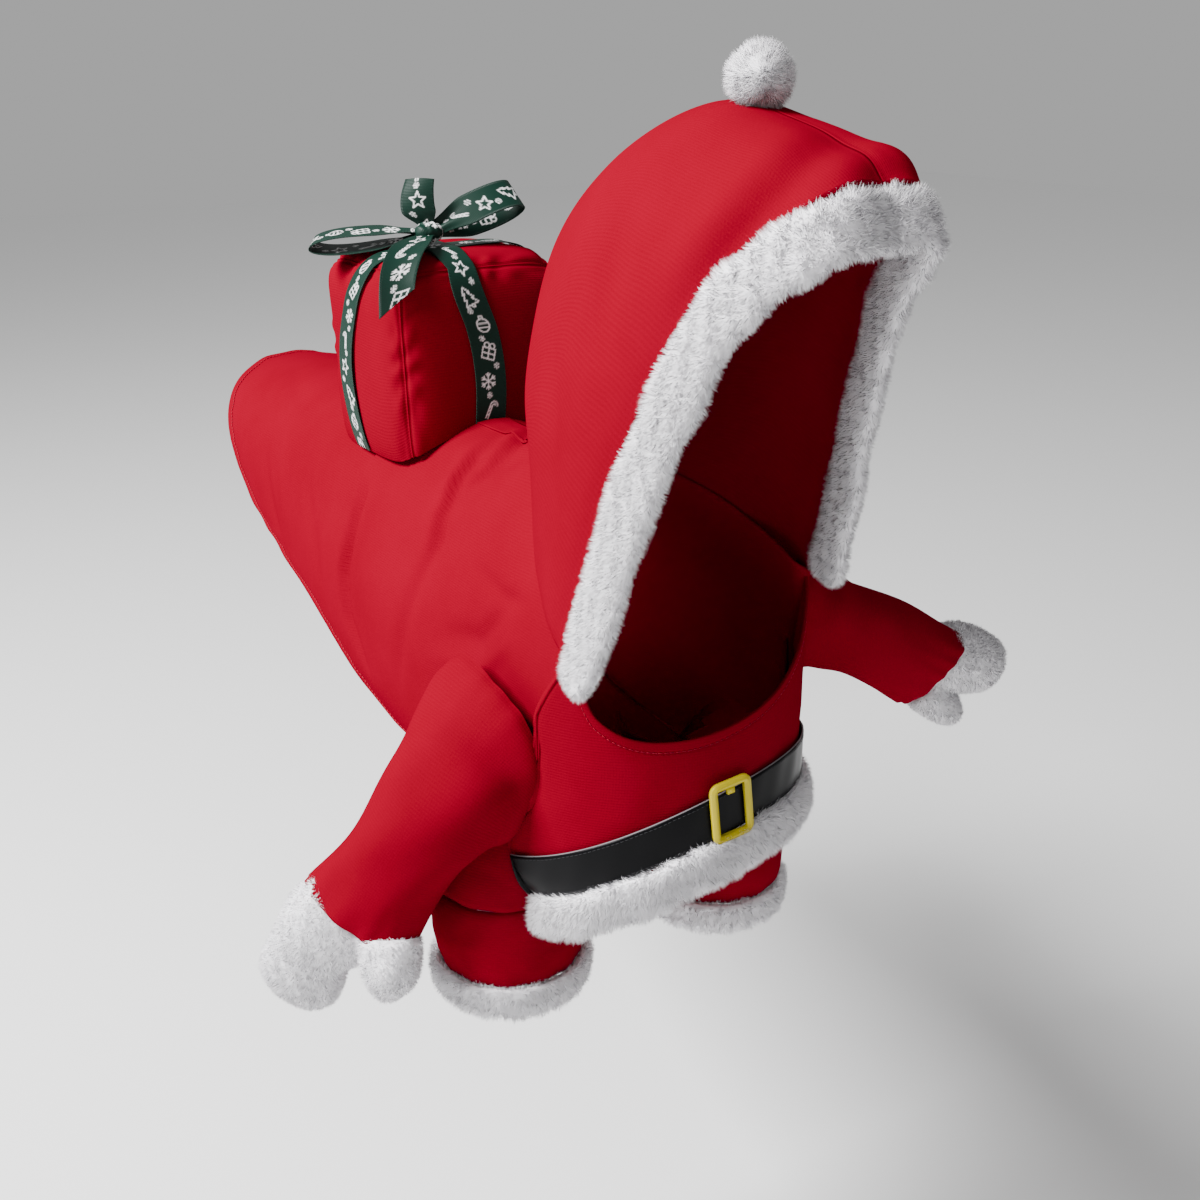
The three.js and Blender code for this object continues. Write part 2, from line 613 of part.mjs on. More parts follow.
// A ribbon tail along a smooth line of points, each with the direction of its width; its end
// is cut on a slant.
function tail(rows, slant) {
  const curve = (columns) => new THREE.CatmullRomCurve3(
    rows.map((r) => new THREE.Vector3(...columns.map((c) => r[c]))), false, "centripetal",
  );
  const [line, lean] = [curve(["x", "y", "z"]), curve(["wx", "wy", "wz"])];
  return (u, v) => {
    const t = THREE.MathUtils.clamp(u * (1 - slant * v), 0, 1);
    const gather = mix(0.45, 1, smooth(t, 0, 0.35));
    const across = lean.getPoint(t).normalize();
    return line.getPoint(t).addScaledVector(across, (v - 0.5) * RIBBON.width * gather);
  };
}

// A bow loop from the knot to its tip: u runs out along one strand and back along the other.
function bowLoop(tip, flat, height) {
  const knot = new THREE.Vector3(...KNOT.middle);
  const reach = new THREE.Vector3(...tip).sub(knot);
  const far = reach.length();
  reach.normalize();
  const across = new THREE.Vector3(...flat);
  across.addScaledVector(reach, -reach.dot(across)).normalize();
  const up = across.clone().cross(reach);
  return (u, v) => {
    const turn = 2 * Math.PI * u;
    const s = (1 - Math.cos(turn)) / 2;
    const gather = mix(0.5, 1, smooth(s, 0, 0.4));
    return knot.clone()
      .addScaledVector(reach, mix(7, far, s))
      .addScaledVector(up, height * Math.sin(turn) * mix(0.5, 1, s))
      .addScaledVector(across, (v - 0.5) * RIBBON.width * gather);
  };
}

// ---------- assembly ----------
const legTool = (side) => solid(loft((s, t) => legPoint(side, mix(-353, -186, s), t, GAP + 0.1), 18, 24));

// A point of the belt or hem, moved out of the way where it lies over a leg sleeve.
function overLegs(point) {
  const r = read(LEG_RINGS, "z", "r", point.z) + 2 * GAP;
  const from = new THREE.Vector2(Math.abs(point.x) - read(LEG_RINGS, "z", "x", point.z), point.y - LEG.y);
  const away = from.length();
  if (point.z > -205 || away >= r) return point;
  from.multiplyScalar((r - away) / away);
  point.x += Math.sign(point.x) * from.x;
  point.y += from.y;
  return point;
}

const hemSurface = (u, v) => {
  const turn = mix(-HEM.turn, HEM.turn, u);
  const end = smooth(Math.abs(turn), 60, HEM.turn);
  const z = beltHeight(turn) + mix(HEM.top, HEM.bottom + 10 * end, v);
  const point = chest(turn, beltHeight(turn) + HEM.top);
  point.z = z;
  return overLegs(point);
};
const beltSurface = (u, v) => {
  const turn = mix(-BELT.turn, BELT.turn, u);
  return overLegs(chest(turn, beltHeight(turn) + BELT.width * (0.5 - v)));
};
const coatFill = solid(loft((s, t) => {
  const out = new THREE.Vector3(Math.sin(rad(360 * t)), 0, Math.cos(rad(360 * t)));
  return trunk(mix(20, 230, s), 360 * t).addScaledVector(out, -1);
}, 24, 48));
const hemSwell = (s, t) => {
  const ends = Math.min(1, 0.35 + 14 * s, 0.35 + 14 * (1 - s));
  return 2 + (PLUSH - 2) * Math.sqrt(Math.sin(Math.PI * mix(0.04, 0.96, t))) * ends;
};
const LIE = 0.8; // how far a trim lies off the panel below it
const hem = wall(hemSurface, 32, 5, { side: -1, from: LIE + 0.4, to: hemSwell });
const belt = wall(beltSurface, 32, 2, { side: -1, from: LIE, to: LIE + BELT.thick });
const hoodHalf = (side, options) => wall((u, v) => hood(u, v, side), 14, 10, {
  side: -side,
  us: [0, 0.99],
  vs: [0, 0.996],
  ...options,
});
const hoodPad = solid(hoodHalf(1, { from: -3, to: 1.5 })).add(solid(hoodHalf(-1, { from: -3, to: 1.5 })));

const chestWall = wall(chestPanel, ...CHEST_GRID, { side: -1, us: [-1, 1] });
const coatWall = wall(foldedCoat, ...COAT_GRID, { us: [-1, 1] });
const bellyWall = wall(belly, 13, 10, { side: -1 });
const legs = [legTool(1), legTool(-1)];
const coatPiece = cut(coatWall, chestPad, ...legs);
const coatSolid = solid(coatPiece);
const panels = [coatPad, coatSolid, chestPad]; // what lies on the coat or the chest is cut by these
add("coat_back", coatPiece, RED_KNIT);
add("chest_panel", chestWall, RED_KNIT);
const hemPad = solid(wall(hemSurface, 32, 5, { side: -1, from: -1, to: (s, t) => hemSwell(s, t) + GAP }));
const beltPad = solid(wall(beltSurface, 32, 2, { side: -1, from: -1, to: LIE + BELT.thick + GAP }));
const trims = [hemPad, beltPad];
add("belly_panel", cut(bellyWall, chestPad, coatPad, hemPad, ...legs), RED_KNIT);
// The buckle: a rectangular frame that lies on the belt at the middle of the chest.
function roundedFrame(shape, wide, tall, corner) {
  const [x, y] = [wide / 2, tall / 2];
  shape.moveTo(-x + corner, -y).lineTo(x - corner, -y);
  shape.absarc(x - corner, -y + corner, corner, -Math.PI / 2, 0);
  shape.lineTo(x, y - corner).absarc(x - corner, y - corner, corner, 0, Math.PI / 2);
  shape.lineTo(-x + corner, y).absarc(-x + corner, y - corner, corner, Math.PI / 2, Math.PI);
  shape.lineTo(-x, -y + corner).absarc(-x + corner, -y + corner, corner, Math.PI, 1.5 * Math.PI);
  return shape;
}

// Stands an extruded outline upright on the belt, its back a given distance off the belt's face.
function onBelt(outline, depth, off, bevel) {
  const g = new THREE.ExtrudeGeometry(outline, {
    depth: depth - 2 * bevel,
    bevelEnabled: bevel > 0,
    bevelThickness: bevel,
    bevelSize: bevel,
    bevelSegments: 1,
    curveSegments: 3,
  });
  const seat = chest(BUCKLE.turn, beltHeight(BUCKLE.turn));
  g.rotateX(Math.PI / 2).rotateY(-BUCKLE.tilt).rotateZ(rad(BUCKLE.turn));
  return g.translate(seat.x, seat.y - LIE - BELT.thick - bevel - off, seat.z + BUCKLE.up);
}
const inner = 2 * (BUCKLE.bar - BUCKLE.bevel);
const outer = 2 * BUCKLE.bevel;
const frame = roundedFrame(new THREE.Shape(), BUCKLE.wide - outer, BUCKLE.tall - outer, 5);
frame.holes.push(roundedFrame(new THREE.Path(), BUCKLE.wide - inner, BUCKLE.tall - inner, 2.5));
const buckle = onBelt(frame, BUCKLE.deep, 2 * GAP, BUCKLE.bevel);
const buckleRoom = roundedFrame(new THREE.Shape(), BUCKLE.wide + 2 * GAP, BUCKLE.tall + 2 * GAP, 5);
const bucklePad = solid(onBelt(buckleRoom, 3 * PLUSH, 0, 0));
add("hem_band", cut(hem, beltPad, bucklePad, ...legs), WHITE_PLUSH);
add("belt", cut(belt, coatPad, coatSolid), BLACK_BELT);
add("buckle", buckle, YELLOW_PLASTIC);

for (const [name, side] of [["right", -1], ["left", 1]]) {
  const tube = (from, to, thick, rows, swell = 0) => wall(
    (u, v) => legPoint(side, mix(from, to, v), u), 22, rows,
    { side, wrap: true, from: -thick, to: swell },
  );
  add(`leg_sleeve_${name}`, cut(tube(LEG.seam, -196, CLOTH, 4), core, ...panels, ...trims), RED_KNIT);
  add(`leg_band_${name}`, tube(LEG.cuff, LEG.seam - GAP, CLOTH, 2), RED_KNIT);
  const fur = (s, t) => 1 + 6 * Math.sin(Math.PI * mix(0.08, 0.92, t));
  add(`leg_cuff_${name}`, tube(LEG.foot, LEG.cuff - GAP, 3, 4, fur), WHITE_PLUSH);
}

for (const [name, side] of [["right", -1], ["left", 1]]) {
  const corner = neckSeam(1, side);
  const room = new THREE.SphereGeometry(6, 8, 6).translate(corner.x, corner.y, corner.z);
  const half = cut(hoodHalf(side, {}), ...panels, solid(closed(pointsOf(room), [...room.index.array])));
  add(`hood_${name}`, half, RED_KNIT);
}
const band = loft((s, t) => bandPoint(mix(-1, 1, s), t), 34, 8);
add("hood_band", cut(band, ...panels), WHITE_PLUSH);
const bandPad = solid(loft((s, t) => bandPoint(mix(-1, 1, s), t, 1), 34, 8));
const ball = new THREE.SphereGeometry(POMPOM.radius, 14, 9).translate(...POMPOM.middle);
add("pompom", cut(closed(pointsOf(ball), [...ball.index.array]), hoodPad), WHITE_PLUSH);

const HANDS = [
  ["right", ARM_RIGHT, FINGERS_RIGHT, THUMB_RIGHT],
  ["left", ARM_LEFT, FINGERS_LEFT, THUMB_LEFT],
];
for (const [name, rows, fingers, thumb] of HANDS) {
  const run = (table, steps, sides) => loft((s, t) => armPoint(table, ARM_FLAT[name], s, t), steps, sides);
  const sleeve = run(rows, 8, 14);
  const arm = cut(sleeve, core, ...panels, hoodPad, bandPad, ...trims, ...legs);
  add(`arm_${name}`, arm, RED_KNIT);
  const hand = solid(run(fingers, 6, 12)).add(solid(run(thumb, 3, 8)));
  const wider = [...rows.slice(0, 4), { ...rows[4], tall: 70, thick: 40 }];
  add(`mitten_${name}`, cut(geometryOf(hand), solid(run(wider, 8, 16))), WHITE_PLUSH);
}

const boxWalls = Object.entries(BOX_FACES).map(([name, face]) => {
  const inset = 1 - 0.006;
  const surface = (u, v) => face(mix(-inset, inset, u), mix(-inset, inset, v));
  return [name, cut(wall(surface, 6, 5, { from: -3 }), coatPad, coatFill)];
});
for (const [name, geometry] of boxWalls) add(name, geometry, RED_KNIT);

const crossing = (turn) => 1.4 * (1 - smooth(Math.abs(turn + 14), 16, 26));
for (const [name, crosswise] of [["ribbon_cross", true], ["ribbon_length", false]]) {
  const span = 128;
  const rise = (s) => (crosswise ? 0 : crossing(mix(-span, span, s)));
  const strip = wall((u, v) => ribbonPoint(mix(-span, span, u), v, crosswise), 36, 1, {
    side: crosswise ? 1 : -1,
    from: (s) => RIBBON.lie + rise(s),
    to: (s) => RIBBON.lie + RIBBON.thick + rise(s),
  });
  add(name, cut(strip, coatPad, coatFill), GREEN_SATIN);
}

// The base lies on the coat inside the four sides.
const boxInside = solid(loft((s, t) => {
  const [polar, round] = [Math.PI * mix(0.002, 0.998, s), 2 * Math.PI * t];
  const middle = new THREE.Vector3(...BOX.middle);
  const at = boxPoint(Math.sin(polar) * Math.cos(round), Math.sin(polar) * Math.sin(round), -Math.cos(polar));
  return at.sub(middle).multiplyScalar(1 - 4.6 / BOX.x).add(middle);
}, 12, 24));
const onCoat = solid(wall(foldedCoat, ...COAT_GRID, { us: [-1, 1], from: 0.5, to: 2.5 }));
add("box_base", geometryOf(onCoat.intersect(boxInside)), RED_KNIT);

// The bow: a knot over the crossing, two loops and two cut tails.
const knotShape = (grow) => new THREE.SphereGeometry(1, 14, 10)
  .scale(KNOT.x + grow, KNOT.y + grow, KNOT.z + grow).translate(...KNOT.middle);
const knotSolid = (grow) => {
  const shape = knotShape(grow);
  return closed(pointsOf(shape), [...shape.index.array]);
};
add("bow_knot", knotSolid(0), GREEN_SATIN);
const knotPad = solid(knotSolid(GAP + 0.1));
const half = RIBBON.thick / 2;
const bow = [];
for (const [name, loop] of Object.entries(LOOPS)) {
  const surface = bowLoop(loop.tip, loop.flat, loop.height);
  bow.push([name, cut(wall(surface, 24, 1, { wrap: true, from: -half, to: half }), knotPad)]);
}
bow.push(["bow_tail_up", cut(wall(tail(TAIL_UP, 0.2), 8, 1, { from: -half, to: half }), knotPad)]);
bow.push(["bow_tail_down", cut(wall(tail(TAIL_DOWN, 0.3), 14, 1, { from: -half, to: half }), knotPad)]);
for (const [name, geometry] of bow) add(name, geometry, GREEN_SATIN);

export default costume;
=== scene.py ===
"""A dog's red hooded gift costume as worn, with nobody in it. Surfaces are worked out in
millimetres in the model's own frame: +X the wearer's left, +Y to the tail, +Z up, and the
origin on the inside of the coat at the withers."""
import math

import bpy
import numpy as np
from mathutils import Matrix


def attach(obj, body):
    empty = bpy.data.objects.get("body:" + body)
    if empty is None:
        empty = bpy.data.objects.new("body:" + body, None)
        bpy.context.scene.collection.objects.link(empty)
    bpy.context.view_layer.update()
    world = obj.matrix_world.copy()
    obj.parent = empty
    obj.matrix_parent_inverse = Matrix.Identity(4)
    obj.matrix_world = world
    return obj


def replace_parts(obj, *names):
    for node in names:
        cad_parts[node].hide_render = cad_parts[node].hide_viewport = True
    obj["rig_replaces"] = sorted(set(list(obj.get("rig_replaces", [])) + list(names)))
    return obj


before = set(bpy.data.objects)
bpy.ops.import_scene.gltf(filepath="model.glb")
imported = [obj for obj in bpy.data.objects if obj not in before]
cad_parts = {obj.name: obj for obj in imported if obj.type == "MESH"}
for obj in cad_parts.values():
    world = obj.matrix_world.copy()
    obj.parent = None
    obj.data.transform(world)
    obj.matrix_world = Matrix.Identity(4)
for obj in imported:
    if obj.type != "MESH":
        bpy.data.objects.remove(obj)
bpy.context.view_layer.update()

# ---------- camera ----------
# A camera a little above the wearer's right shoulder, looking down along the chest.
camera_data = bpy.data.cameras.new("camera")
camera_data.lens = 41.1
camera_data.sensor_width = 36.0
camera = bpy.data.objects.new("camera", camera_data)
camera.location = (-0.4766, -0.8190, 0.2583)
camera.rotation_euler = (math.radians(68.0), 0.0, math.radians(-33.2))
bpy.context.scene.collection.objects.link(camera)
bpy.context.scene.camera = camera

# ---------- floor and light ----------
# A plain pale floor far below the costume, a white surround, one large soft light on the
# wearer's right and a weak one in front.
FLOOR_Z = -0.78
FLOOR_REACH = 9
floor_corners = [(x * FLOOR_REACH, y * FLOOR_REACH, FLOOR_Z) for x, y in ((-1, -1), (1, -1), (1, 1), (-1, 1))]
floor_mesh = bpy.data.meshes.new("floor")
floor_mesh.from_pydata(floor_corners, [], [(0, 1, 2, 3)])
floor = bpy.data.objects.new("floor", floor_mesh)
bpy.context.scene.collection.objects.link(floor)
floor_paint = bpy.data.materials.new("pale floor")
floor_paint.use_nodes = True
floor_shader = floor_paint.node_tree.nodes["Principled BSDF"]
floor_shader.inputs["Base Color"].default_value = (0.93, 0.93, 0.93, 1)
floor_shader.inputs["Roughness"].default_value = 0.9
floor_mesh.materials.append(floor_paint)

world = bpy.data.worlds.new("studio")
world.use_nodes = True
world.node_tree.nodes["Background"].inputs["Color"].default_value = (1.0, 1.0, 1.0, 1)
world.node_tree.nodes["Background"].inputs["Strength"].default_value = 0.43
bpy.context.scene.world = world


def soft_light(name, place, aim, size, watts):
    """A square area light at a place, facing the point it is aimed at."""
    data = bpy.data.lights.new(name, "AREA")
    data.size = size
    data.energy = watts
    light = bpy.data.objects.new(name, data)
    light.location = place
    run = np.array(aim, float) - np.array(place, float)
    level = math.hypot(run[0], run[1])
    light.rotation_euler = (math.atan2(level, -run[2]), 0, math.atan2(run[0], -run[1]) + math.pi)
    bpy.context.scene.collection.objects.link(light)


soft_light("key", (-1.9, 0.35, 1.9), (0, 0, -0.05), 1.0, 290)
soft_light("fill", (-0.6, -2.6, 1.0), (0, 0, -0.1), 1.8, 7)

# ---------- coat ----------
# One panel of brushed fine knit over the back and both sides, cut like a cape: it runs from the
# neck seam to a turned hem round the rear, and the side seams join it to the chest panel.
CLOTH = 2.0  # the knit's thickness
SEAM_SOFT = 2.4  # half width of the dip beside a seam
BODY_MIDDLE = -135  # height of the body's middle line
BODY_ROUND = 122.0  # mean distance of the cloth from that line
# the trunk by its sections from front to rear: half width, heights, and how square it is
TRUNK = dict(
    y=[-246, -195, -115, -60, 0, 100, 200, 300, 400, 470],
    half=[118, 118, 118, 118, 116, 112, 105, 98, 88, 75],
    top=[-8, -8, 10, 12, 2, 3, 3, -1, -10, -20],
    mid=[-150, -150, -150, -150, -146, -138, -128, -108, -90, -85],
    keel=[-216, -252, -272, -272, -268, -262, -240, -205, -170, -150],
    square=[8, 8, 3.4, 2.6, 2.3, 2.2, 2.2, 2.2, 2.2, 2.2],
)
# the neck seam from the nape, u 0, to a shoulder corner, u 1
NECK = dict(
    u=[0, 0.2, 0.42, 0.65, 0.85, 1],
    x=[0, 24, 47, 73, 89, 93],
    y=[-58, -70, -97, -131, -168, -195],
    z=[13, 8, -8, -31, -58, -76],
)
# the coat's lower edge from the rear to a side seam, with its turn from the spine in degrees
EDGE = dict(
    u=[0, 0.1, 0.2, 0.3, 0.42, 0.53, 0.63, 0.73, 0.84, 0.93, 1],
    y=[464, 450, 408, 345, 262, 185, 115, 42, -40, -110, -150],
    turn=[0, 40, 76, 98, 102, 104, 114, 131, 134, 134, 129],
)
# where the side seams run, by height
SIDE_SEAM = dict(
    z=[-260, -236, -216, -199, -180, -148, -118, -76],
    y=[-154, -155, -153, -161, -173, -178, -175, -195],
)
SHOULDER_LIFT = 18  # how much higher the left shoulder corner sits
CHEST_HALF = 118  # the chest seen from above is an oval: its half width
CHEST_DEEP = 131  # and how far its front lies before its middle
CHEST_Y = -115  # the middle itself
FOLDS = np.array([  # from point, to point, half width, height: troughs are negative
    (-62, 52, -22, -24, -52, 2, 13, -4),
    (-84, 30, -55, -50, -70, -22, 15, 3.5),
    (-98, 120, -70, -110, 60, -165, 14, -3.5),
    (-112, -10, -110, -116, -60, -190, 13, 3.5),
    (60, 50, -22, 26, -48, 2, 13, -3.5),
    (88, 20, -60, 56, -80, -28, 16, 3.5),
    (100, 150, -80, 111, 50, -150, 15, -3),
    (92, 300, -60, 98, 200, -120, 16, -3),
], float)
CREASES = [  # finer ones along a run of points: half width, height, points
    (5.5, -4.6, [(-83, 118, -44), (-85, 109, -58), (-97, 108, -84), (-105, 107, -115), (-109, 95, -146),
                 (-110, 68, -176)]),
    (8, 1.8, [(-80, 96, -44), (-92, 92, -72), (-102, 90, -105), (-108, 80, -140)]),
    (4, -2.8, [(10, 5, 2), (-14, -10, 2), (-26, -13, -4), (-43, -8, -18), (-58, -6, -30)]),
    (5, 2.6, [(4, 16, 2), (-20, 2, 0), (-38, -1, -12), (-54, 0, -25)]),
    (5, -3.4, [(-20, 13, -2), (-33, 14, -11), (-48, 14, -21), (-64, 3, -36), (-80, -6, -59), (-92, -4, -84)]),
    (7, -1.8, [(-80, -6, -59), (-96, -3, -92), (-106, 1, -126), (-110, 6, -172)]),
    (5, 2.8, [(-19, 25, -2), (-35, 25, -11), (-51, 23, -25), (-67, 9, -40), (-82, 4, -62)]),
    (7, -1.7, [(-88, 300, -60), (-94, 290, -78), (-99, 269, -110), (-100, 250, -134)]),
    (8, 1.5, [(-86, 262, -50), (-97, 246, -84), (-103, 232, -116)]),
    (7, -1.8, [(-84, 214, -48), (-92, 202, -69), (-103, 171, -107), (-108, 150, -136)]),
    (6, -1.3, [(-76, 186, -38), (-97, 174, -84), (-105, 160, -112)]),
    (8, -2.2, [(-98, -50, -110), (-94, -91, -101), (-85, -117, -66)]),
    (6, 1.8, [(-104, -40, -128), (-99, -96, -122), (-93, -130, -88)]),
    (6, -1.6, [(-80, -60, -60), (-84, -100, -68), (-84, -140, -62)]),
    (5, -3.2, [(84, 112, -44), (97, 104, -84), (106, 100, -118), (110, 84, -156)]),
    (5, -3.0, [(30, 12, -8), (50, 12, -22), (70, 2, -44), (88, -6, -74), (102, 0, -112)]),
    (5, 2.4, [(24, 28, -4), (46, 26, -20), (68, 14, -42)]),
    (7, -1.7, [(92, 286, -72), (100, 250, -120)]),
    (7, 1.6, [(92, 208, -66), (104, 170, -112)]),
    (8, -2.0, [(98, -60, -96), (92, -110, -70)]),
    (9, 1.3, [(40, 330, -16), (60, 240, -22)]),
    (9, -1.4, [(-30, 360, -14), (-56, 300, -22), (-66, 230, -28)]),
    (8, -1.3, [(10, 300, 2), (0, 230, 3)]),
]


CREASE_DEPTH = 1.45  # how strongly the finer creases show
HEM_FOLD = 10.0  # width of the coat's turned hem


def mix(a, b, t):
    """A straight blend from a to b."""
    return a + (b - a) * t


def bell(x, half):
    """A bell curve, 1 at 0 and 1/e at half on either side."""
    return np.exp(-((x / half) ** 2))


def shares(count):
    """The places 0, 1/count, 2/count and so on below 1."""
    return np.arange(count) / count


def circle(count):
    """Even turns once round, in radians."""
    return 2 * np.pi * np.arange(count) / count


def grid(first, second):
    """Every pair of two runs of values, as two arrays with the first run along their rows."""
    return np.meshgrid(first, second, indexing="ij")


def smooth(x, low, high):
    """A soft step from 0 at low to 1 at high: 3t^2 - 2t^3."""
    t = np.clip((x - low) / (high - low), 0, 1)
    return t * t * (3 - 2 * t)


def power(value, exponent):
    """A power that keeps its sign."""
    return np.sign(value) * np.abs(value) ** exponent


def read(rows, by, column, at):
    """A table's column at places along another: a cubic through the rows beside each place, whose
    slopes are those between the next rows but one."""
    x, y = np.array(rows[by], float), np.array(rows[column], float)
    last = len(x) - 1
    i = np.clip(np.searchsorted(x, at) - 1, 0, last - 1)
    ahead, behind = np.minimum(np.arange(last + 1) + 1, last), np.maximum(np.arange(last + 1) - 1, 0)
    slope = (y[ahead] - y[behind]) / (x[ahead] - x[behind])
    span = x[i + 1] - x[i]
    t = np.clip((at - x[i]) / span, 0, 1)
    lift = (2 * t**3 - 3 * t**2 + 1) * y[i] + (3 * t**2 - 2 * t**3) * y[i + 1]
    return lift + ((t**3 - 2 * t**2 + t) * slope[i] + (t**3 - t**2) * slope[i + 1]) * span


def columns(rows, by, names, at):
    """Several columns of a table at once."""
    return [read(rows, by, name, at) for name in names]


TRUNK_SECTION = ("top", "mid", "keel", "square")


def half_width(y):
    """Half the trunk's width: the table behind the shoulders, an ellipse round the chest."""
    oval = CHEST_HALF * np.sqrt(np.maximum(0, 1 - ((y - CHEST_Y) / CHEST_DEEP) ** 2))
    return np.where(y >= CHEST_Y, read(TRUNK, "y", "half", y), oval)


def trunk(y, turn):
    """A point of the trunk: round a squared oval by its turn in degrees from the spine."""
    top, mid, keel, square = columns(TRUNK, "y", TRUNK_SECTION, y)
    c = power(np.cos(np.radians(turn)), 2 / square)
    x = half_width(y) * power(np.sin(np.radians(turn)), 2 / square)
    return np.stack(np.broadcast_arrays(x, y, mid + np.where(c > 0, top - mid, mid - keel) * c), -1)


def turn_at(y, z):
    """The turn at which the trunk has a given height."""
    top, mid, keel, square = columns(TRUNK, "y", TRUNK_SECTION, y)
    rise = np.clip((z - mid) / np.where(z > mid, top - mid, mid - keel), -1, 1)
    return np.degrees(np.arccos(power(rise, square / 2)))


def neck_seam(a, side):
    """The neck seam from the nape to a shoulder corner."""
    x, y, z = columns(NECK, "u", "xyz", a)
    return np.stack([side * x, y, z + np.where(side > 0, SHOULDER_LIFT * a * a, 0)], -1)


def coat(u, v):
    """The plain coat: u from the right shoulder over the nape to the left, v from neck to edge. The
    ring of the trunk is swept from the neck's turn and place to the edge's, and eased into the
    neck seam by a bell curve of v."""
    a, side = np.abs(u), np.where(u < 0, -1, 1)
    neck = neck_seam(a, side)
    neck_turn = np.where(a < 0.02, 0, turn_at(neck[..., 1], neck[..., 2]))
    turn = mix(neck_turn, read(EDGE, "u", "turn", a), v)
    straight = mix(neck[..., 1], read(EDGE, "u", "y", a), v)
    height = trunk(straight, turn)[..., 2]
    seam = read(SIDE_SEAM, "z", "y", height) - straight
    point = trunk(straight + seam * smooth(a, 0.72, 1), turn)
    first = trunk(neck[..., 1], neck_turn)
    fade = bell(v * 2.2, 1)
    x = side * (point[..., 0] + (np.abs(neck[..., 0]) - first[..., 0]) * fade)
    return np.stack([x, point[..., 1], point[..., 2] + (neck[..., 2] - first[..., 2]) * fade], -1)


def fold_depth(points, folds):
    """How far folds move points out: each is a bell across its line and a half sine along it."""
    depth = 0
    for fold in folds:
        start, run, half, height = fold[:3], fold[3:6] - fold[:3], fold[6], fold[7]
        along = np.clip(((points - start) @ run) / (run @ run), 0, 1)
        away = np.linalg.norm(points - start - along[..., None] * run, axis=-1)
        depth = depth + height * bell(away, half) * np.sin(np.pi * mix(0.12, 0.88, along))
    return depth


def crease_depth(points, creases):
    """The same for runs of points: a bell across the run, fading out at both of its ends."""
    depth = 0
    for half, height, run in creases:
        run = np.array(run, float)
        steps = np.linalg.norm(np.diff(run, axis=0), axis=1)
        gone, total = np.concatenate([[0], np.cumsum(steps)]), steps.sum()
        near, share = np.full(points.shape[:-1], 1e9), np.zeros(points.shape[:-1])
        for k, step in enumerate(steps):
            way = (run[k + 1] - run[k]) / step
            along = np.clip((points - run[k]) @ way, 0, step)
            away = np.linalg.norm(points - run[k] - along[..., None] * way, axis=-1)
            share = np.where(away < near, (gone[k] + along) / total, share)
            near = np.minimum(near, away)
        depth = depth + height * bell(near, half) * np.sin(np.pi * mix(0.04, 0.96, share)) ** 0.7
    return depth


def unit(vectors):
    """Vectors at length 1."""
    return vectors / np.maximum(np.linalg.norm(vectors, axis=-1, keepdims=True), 1e-12)


def facing(surface, u, v, step=1e-3):
    """The direction off a surface, from small steps along it."""
    du = surface(u + step, v) - surface(u - step, v)
    dv = surface(u, v + step) - surface(u, v - step)
    return unit(np.cross(du, dv))


def outward(surface, u, v):
    """The same, turned to point away from the middle of the body."""
    out = facing(surface, u, v)
    from_middle = surface(u, v) - np.array([0, 0, BODY_MIDDLE])
    from_middle[..., 1] = 0
    return np.where((out * from_middle).sum(-1, keepdims=True) < 0, -out, out)


def folded_coat(u, v):
    """The coat moved out by its largest folds."""
    flat = coat(u, v)
    return flat + outward(coat, u, v) * fold_depth(flat, FOLDS)[..., None]


def write_mesh(name, points, faces, place=None, **per_point):
    """A mesh object from points in millimetres and faces; place is where each point lies on its
    cloth, also in millimetres, and other arrays become named values of the points."""
    mesh = bpy.data.meshes.new(name)
    faces = np.asarray(faces, dtype=np.int32)
    sides = faces.shape[1]
    mesh.vertices.add(points.size // 3)
    mesh.vertices.foreach_set("co", (points / 1000).ravel())
    mesh.loops.add(faces.size)
    mesh.loops.foreach_set("vertex_index", faces.ravel())
    mesh.polygons.add(len(faces))
    mesh.polygons.foreach_set("loop_start", np.arange(len(faces), dtype=np.int32) * sides)
    mesh.polygons.foreach_set("use_smooth", np.ones(len(faces), dtype=bool))
    if place is not None:
        layer = mesh.uv_layers.new(name="cloth")
        layer.data.foreach_set("uv", (place.reshape(-1, 2) / 1000)[faces.ravel()].ravel())
    for key, values in per_point.items():
        mesh.attributes.new(key, "FLOAT", "POINT").data.foreach_set("value", values.ravel())
    mesh.update(calc_edges=True)
    piece = bpy.data.objects.new(name, mesh)
    bpy.context.scene.collection.objects.link(piece)
    return piece


def grid_faces(rows, across, wrap=False, flip=False):
    """Faces of a grid of points, rows by points across; wrap joins the last across to the first."""
    i, j = grid(np.arange(rows - 1), np.arange(across if wrap else across - 1))
    k = (j + 1) % across
    quads = np.stack([i * across + j, (i + 1) * across + j, (i + 1) * across + k, i * across + k], -1)
    quads = quads.reshape(-1, 4)
    return quads[:, ::-1] if flip else quads


def drop(faces, gone):
    """Leaves out the faces all of whose points are marked, and tells which points are still used."""
    faces = faces[~gone.ravel()[faces].all(axis=1)]
    used = np.unique(faces)
    number = np.zeros(gone.size, int)
    number[used] = np.arange(len(used))
    return used, number[faces]


def dress(piece, material, *nodes, wall=None, offset=-1):
    """Gives a piece its finish, its wall if it is a single surface (inwards, or on both sides at
    offset 0), the nodes it stands for and the body it moves with."""
    piece.data.materials.append(material)
    if wall:
        shell = piece.modifiers.new("wall", "SOLIDIFY")
        shell.thickness = wall / 1000
        shell.offset = offset
    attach(piece, "root")
    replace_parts(piece, *nodes)


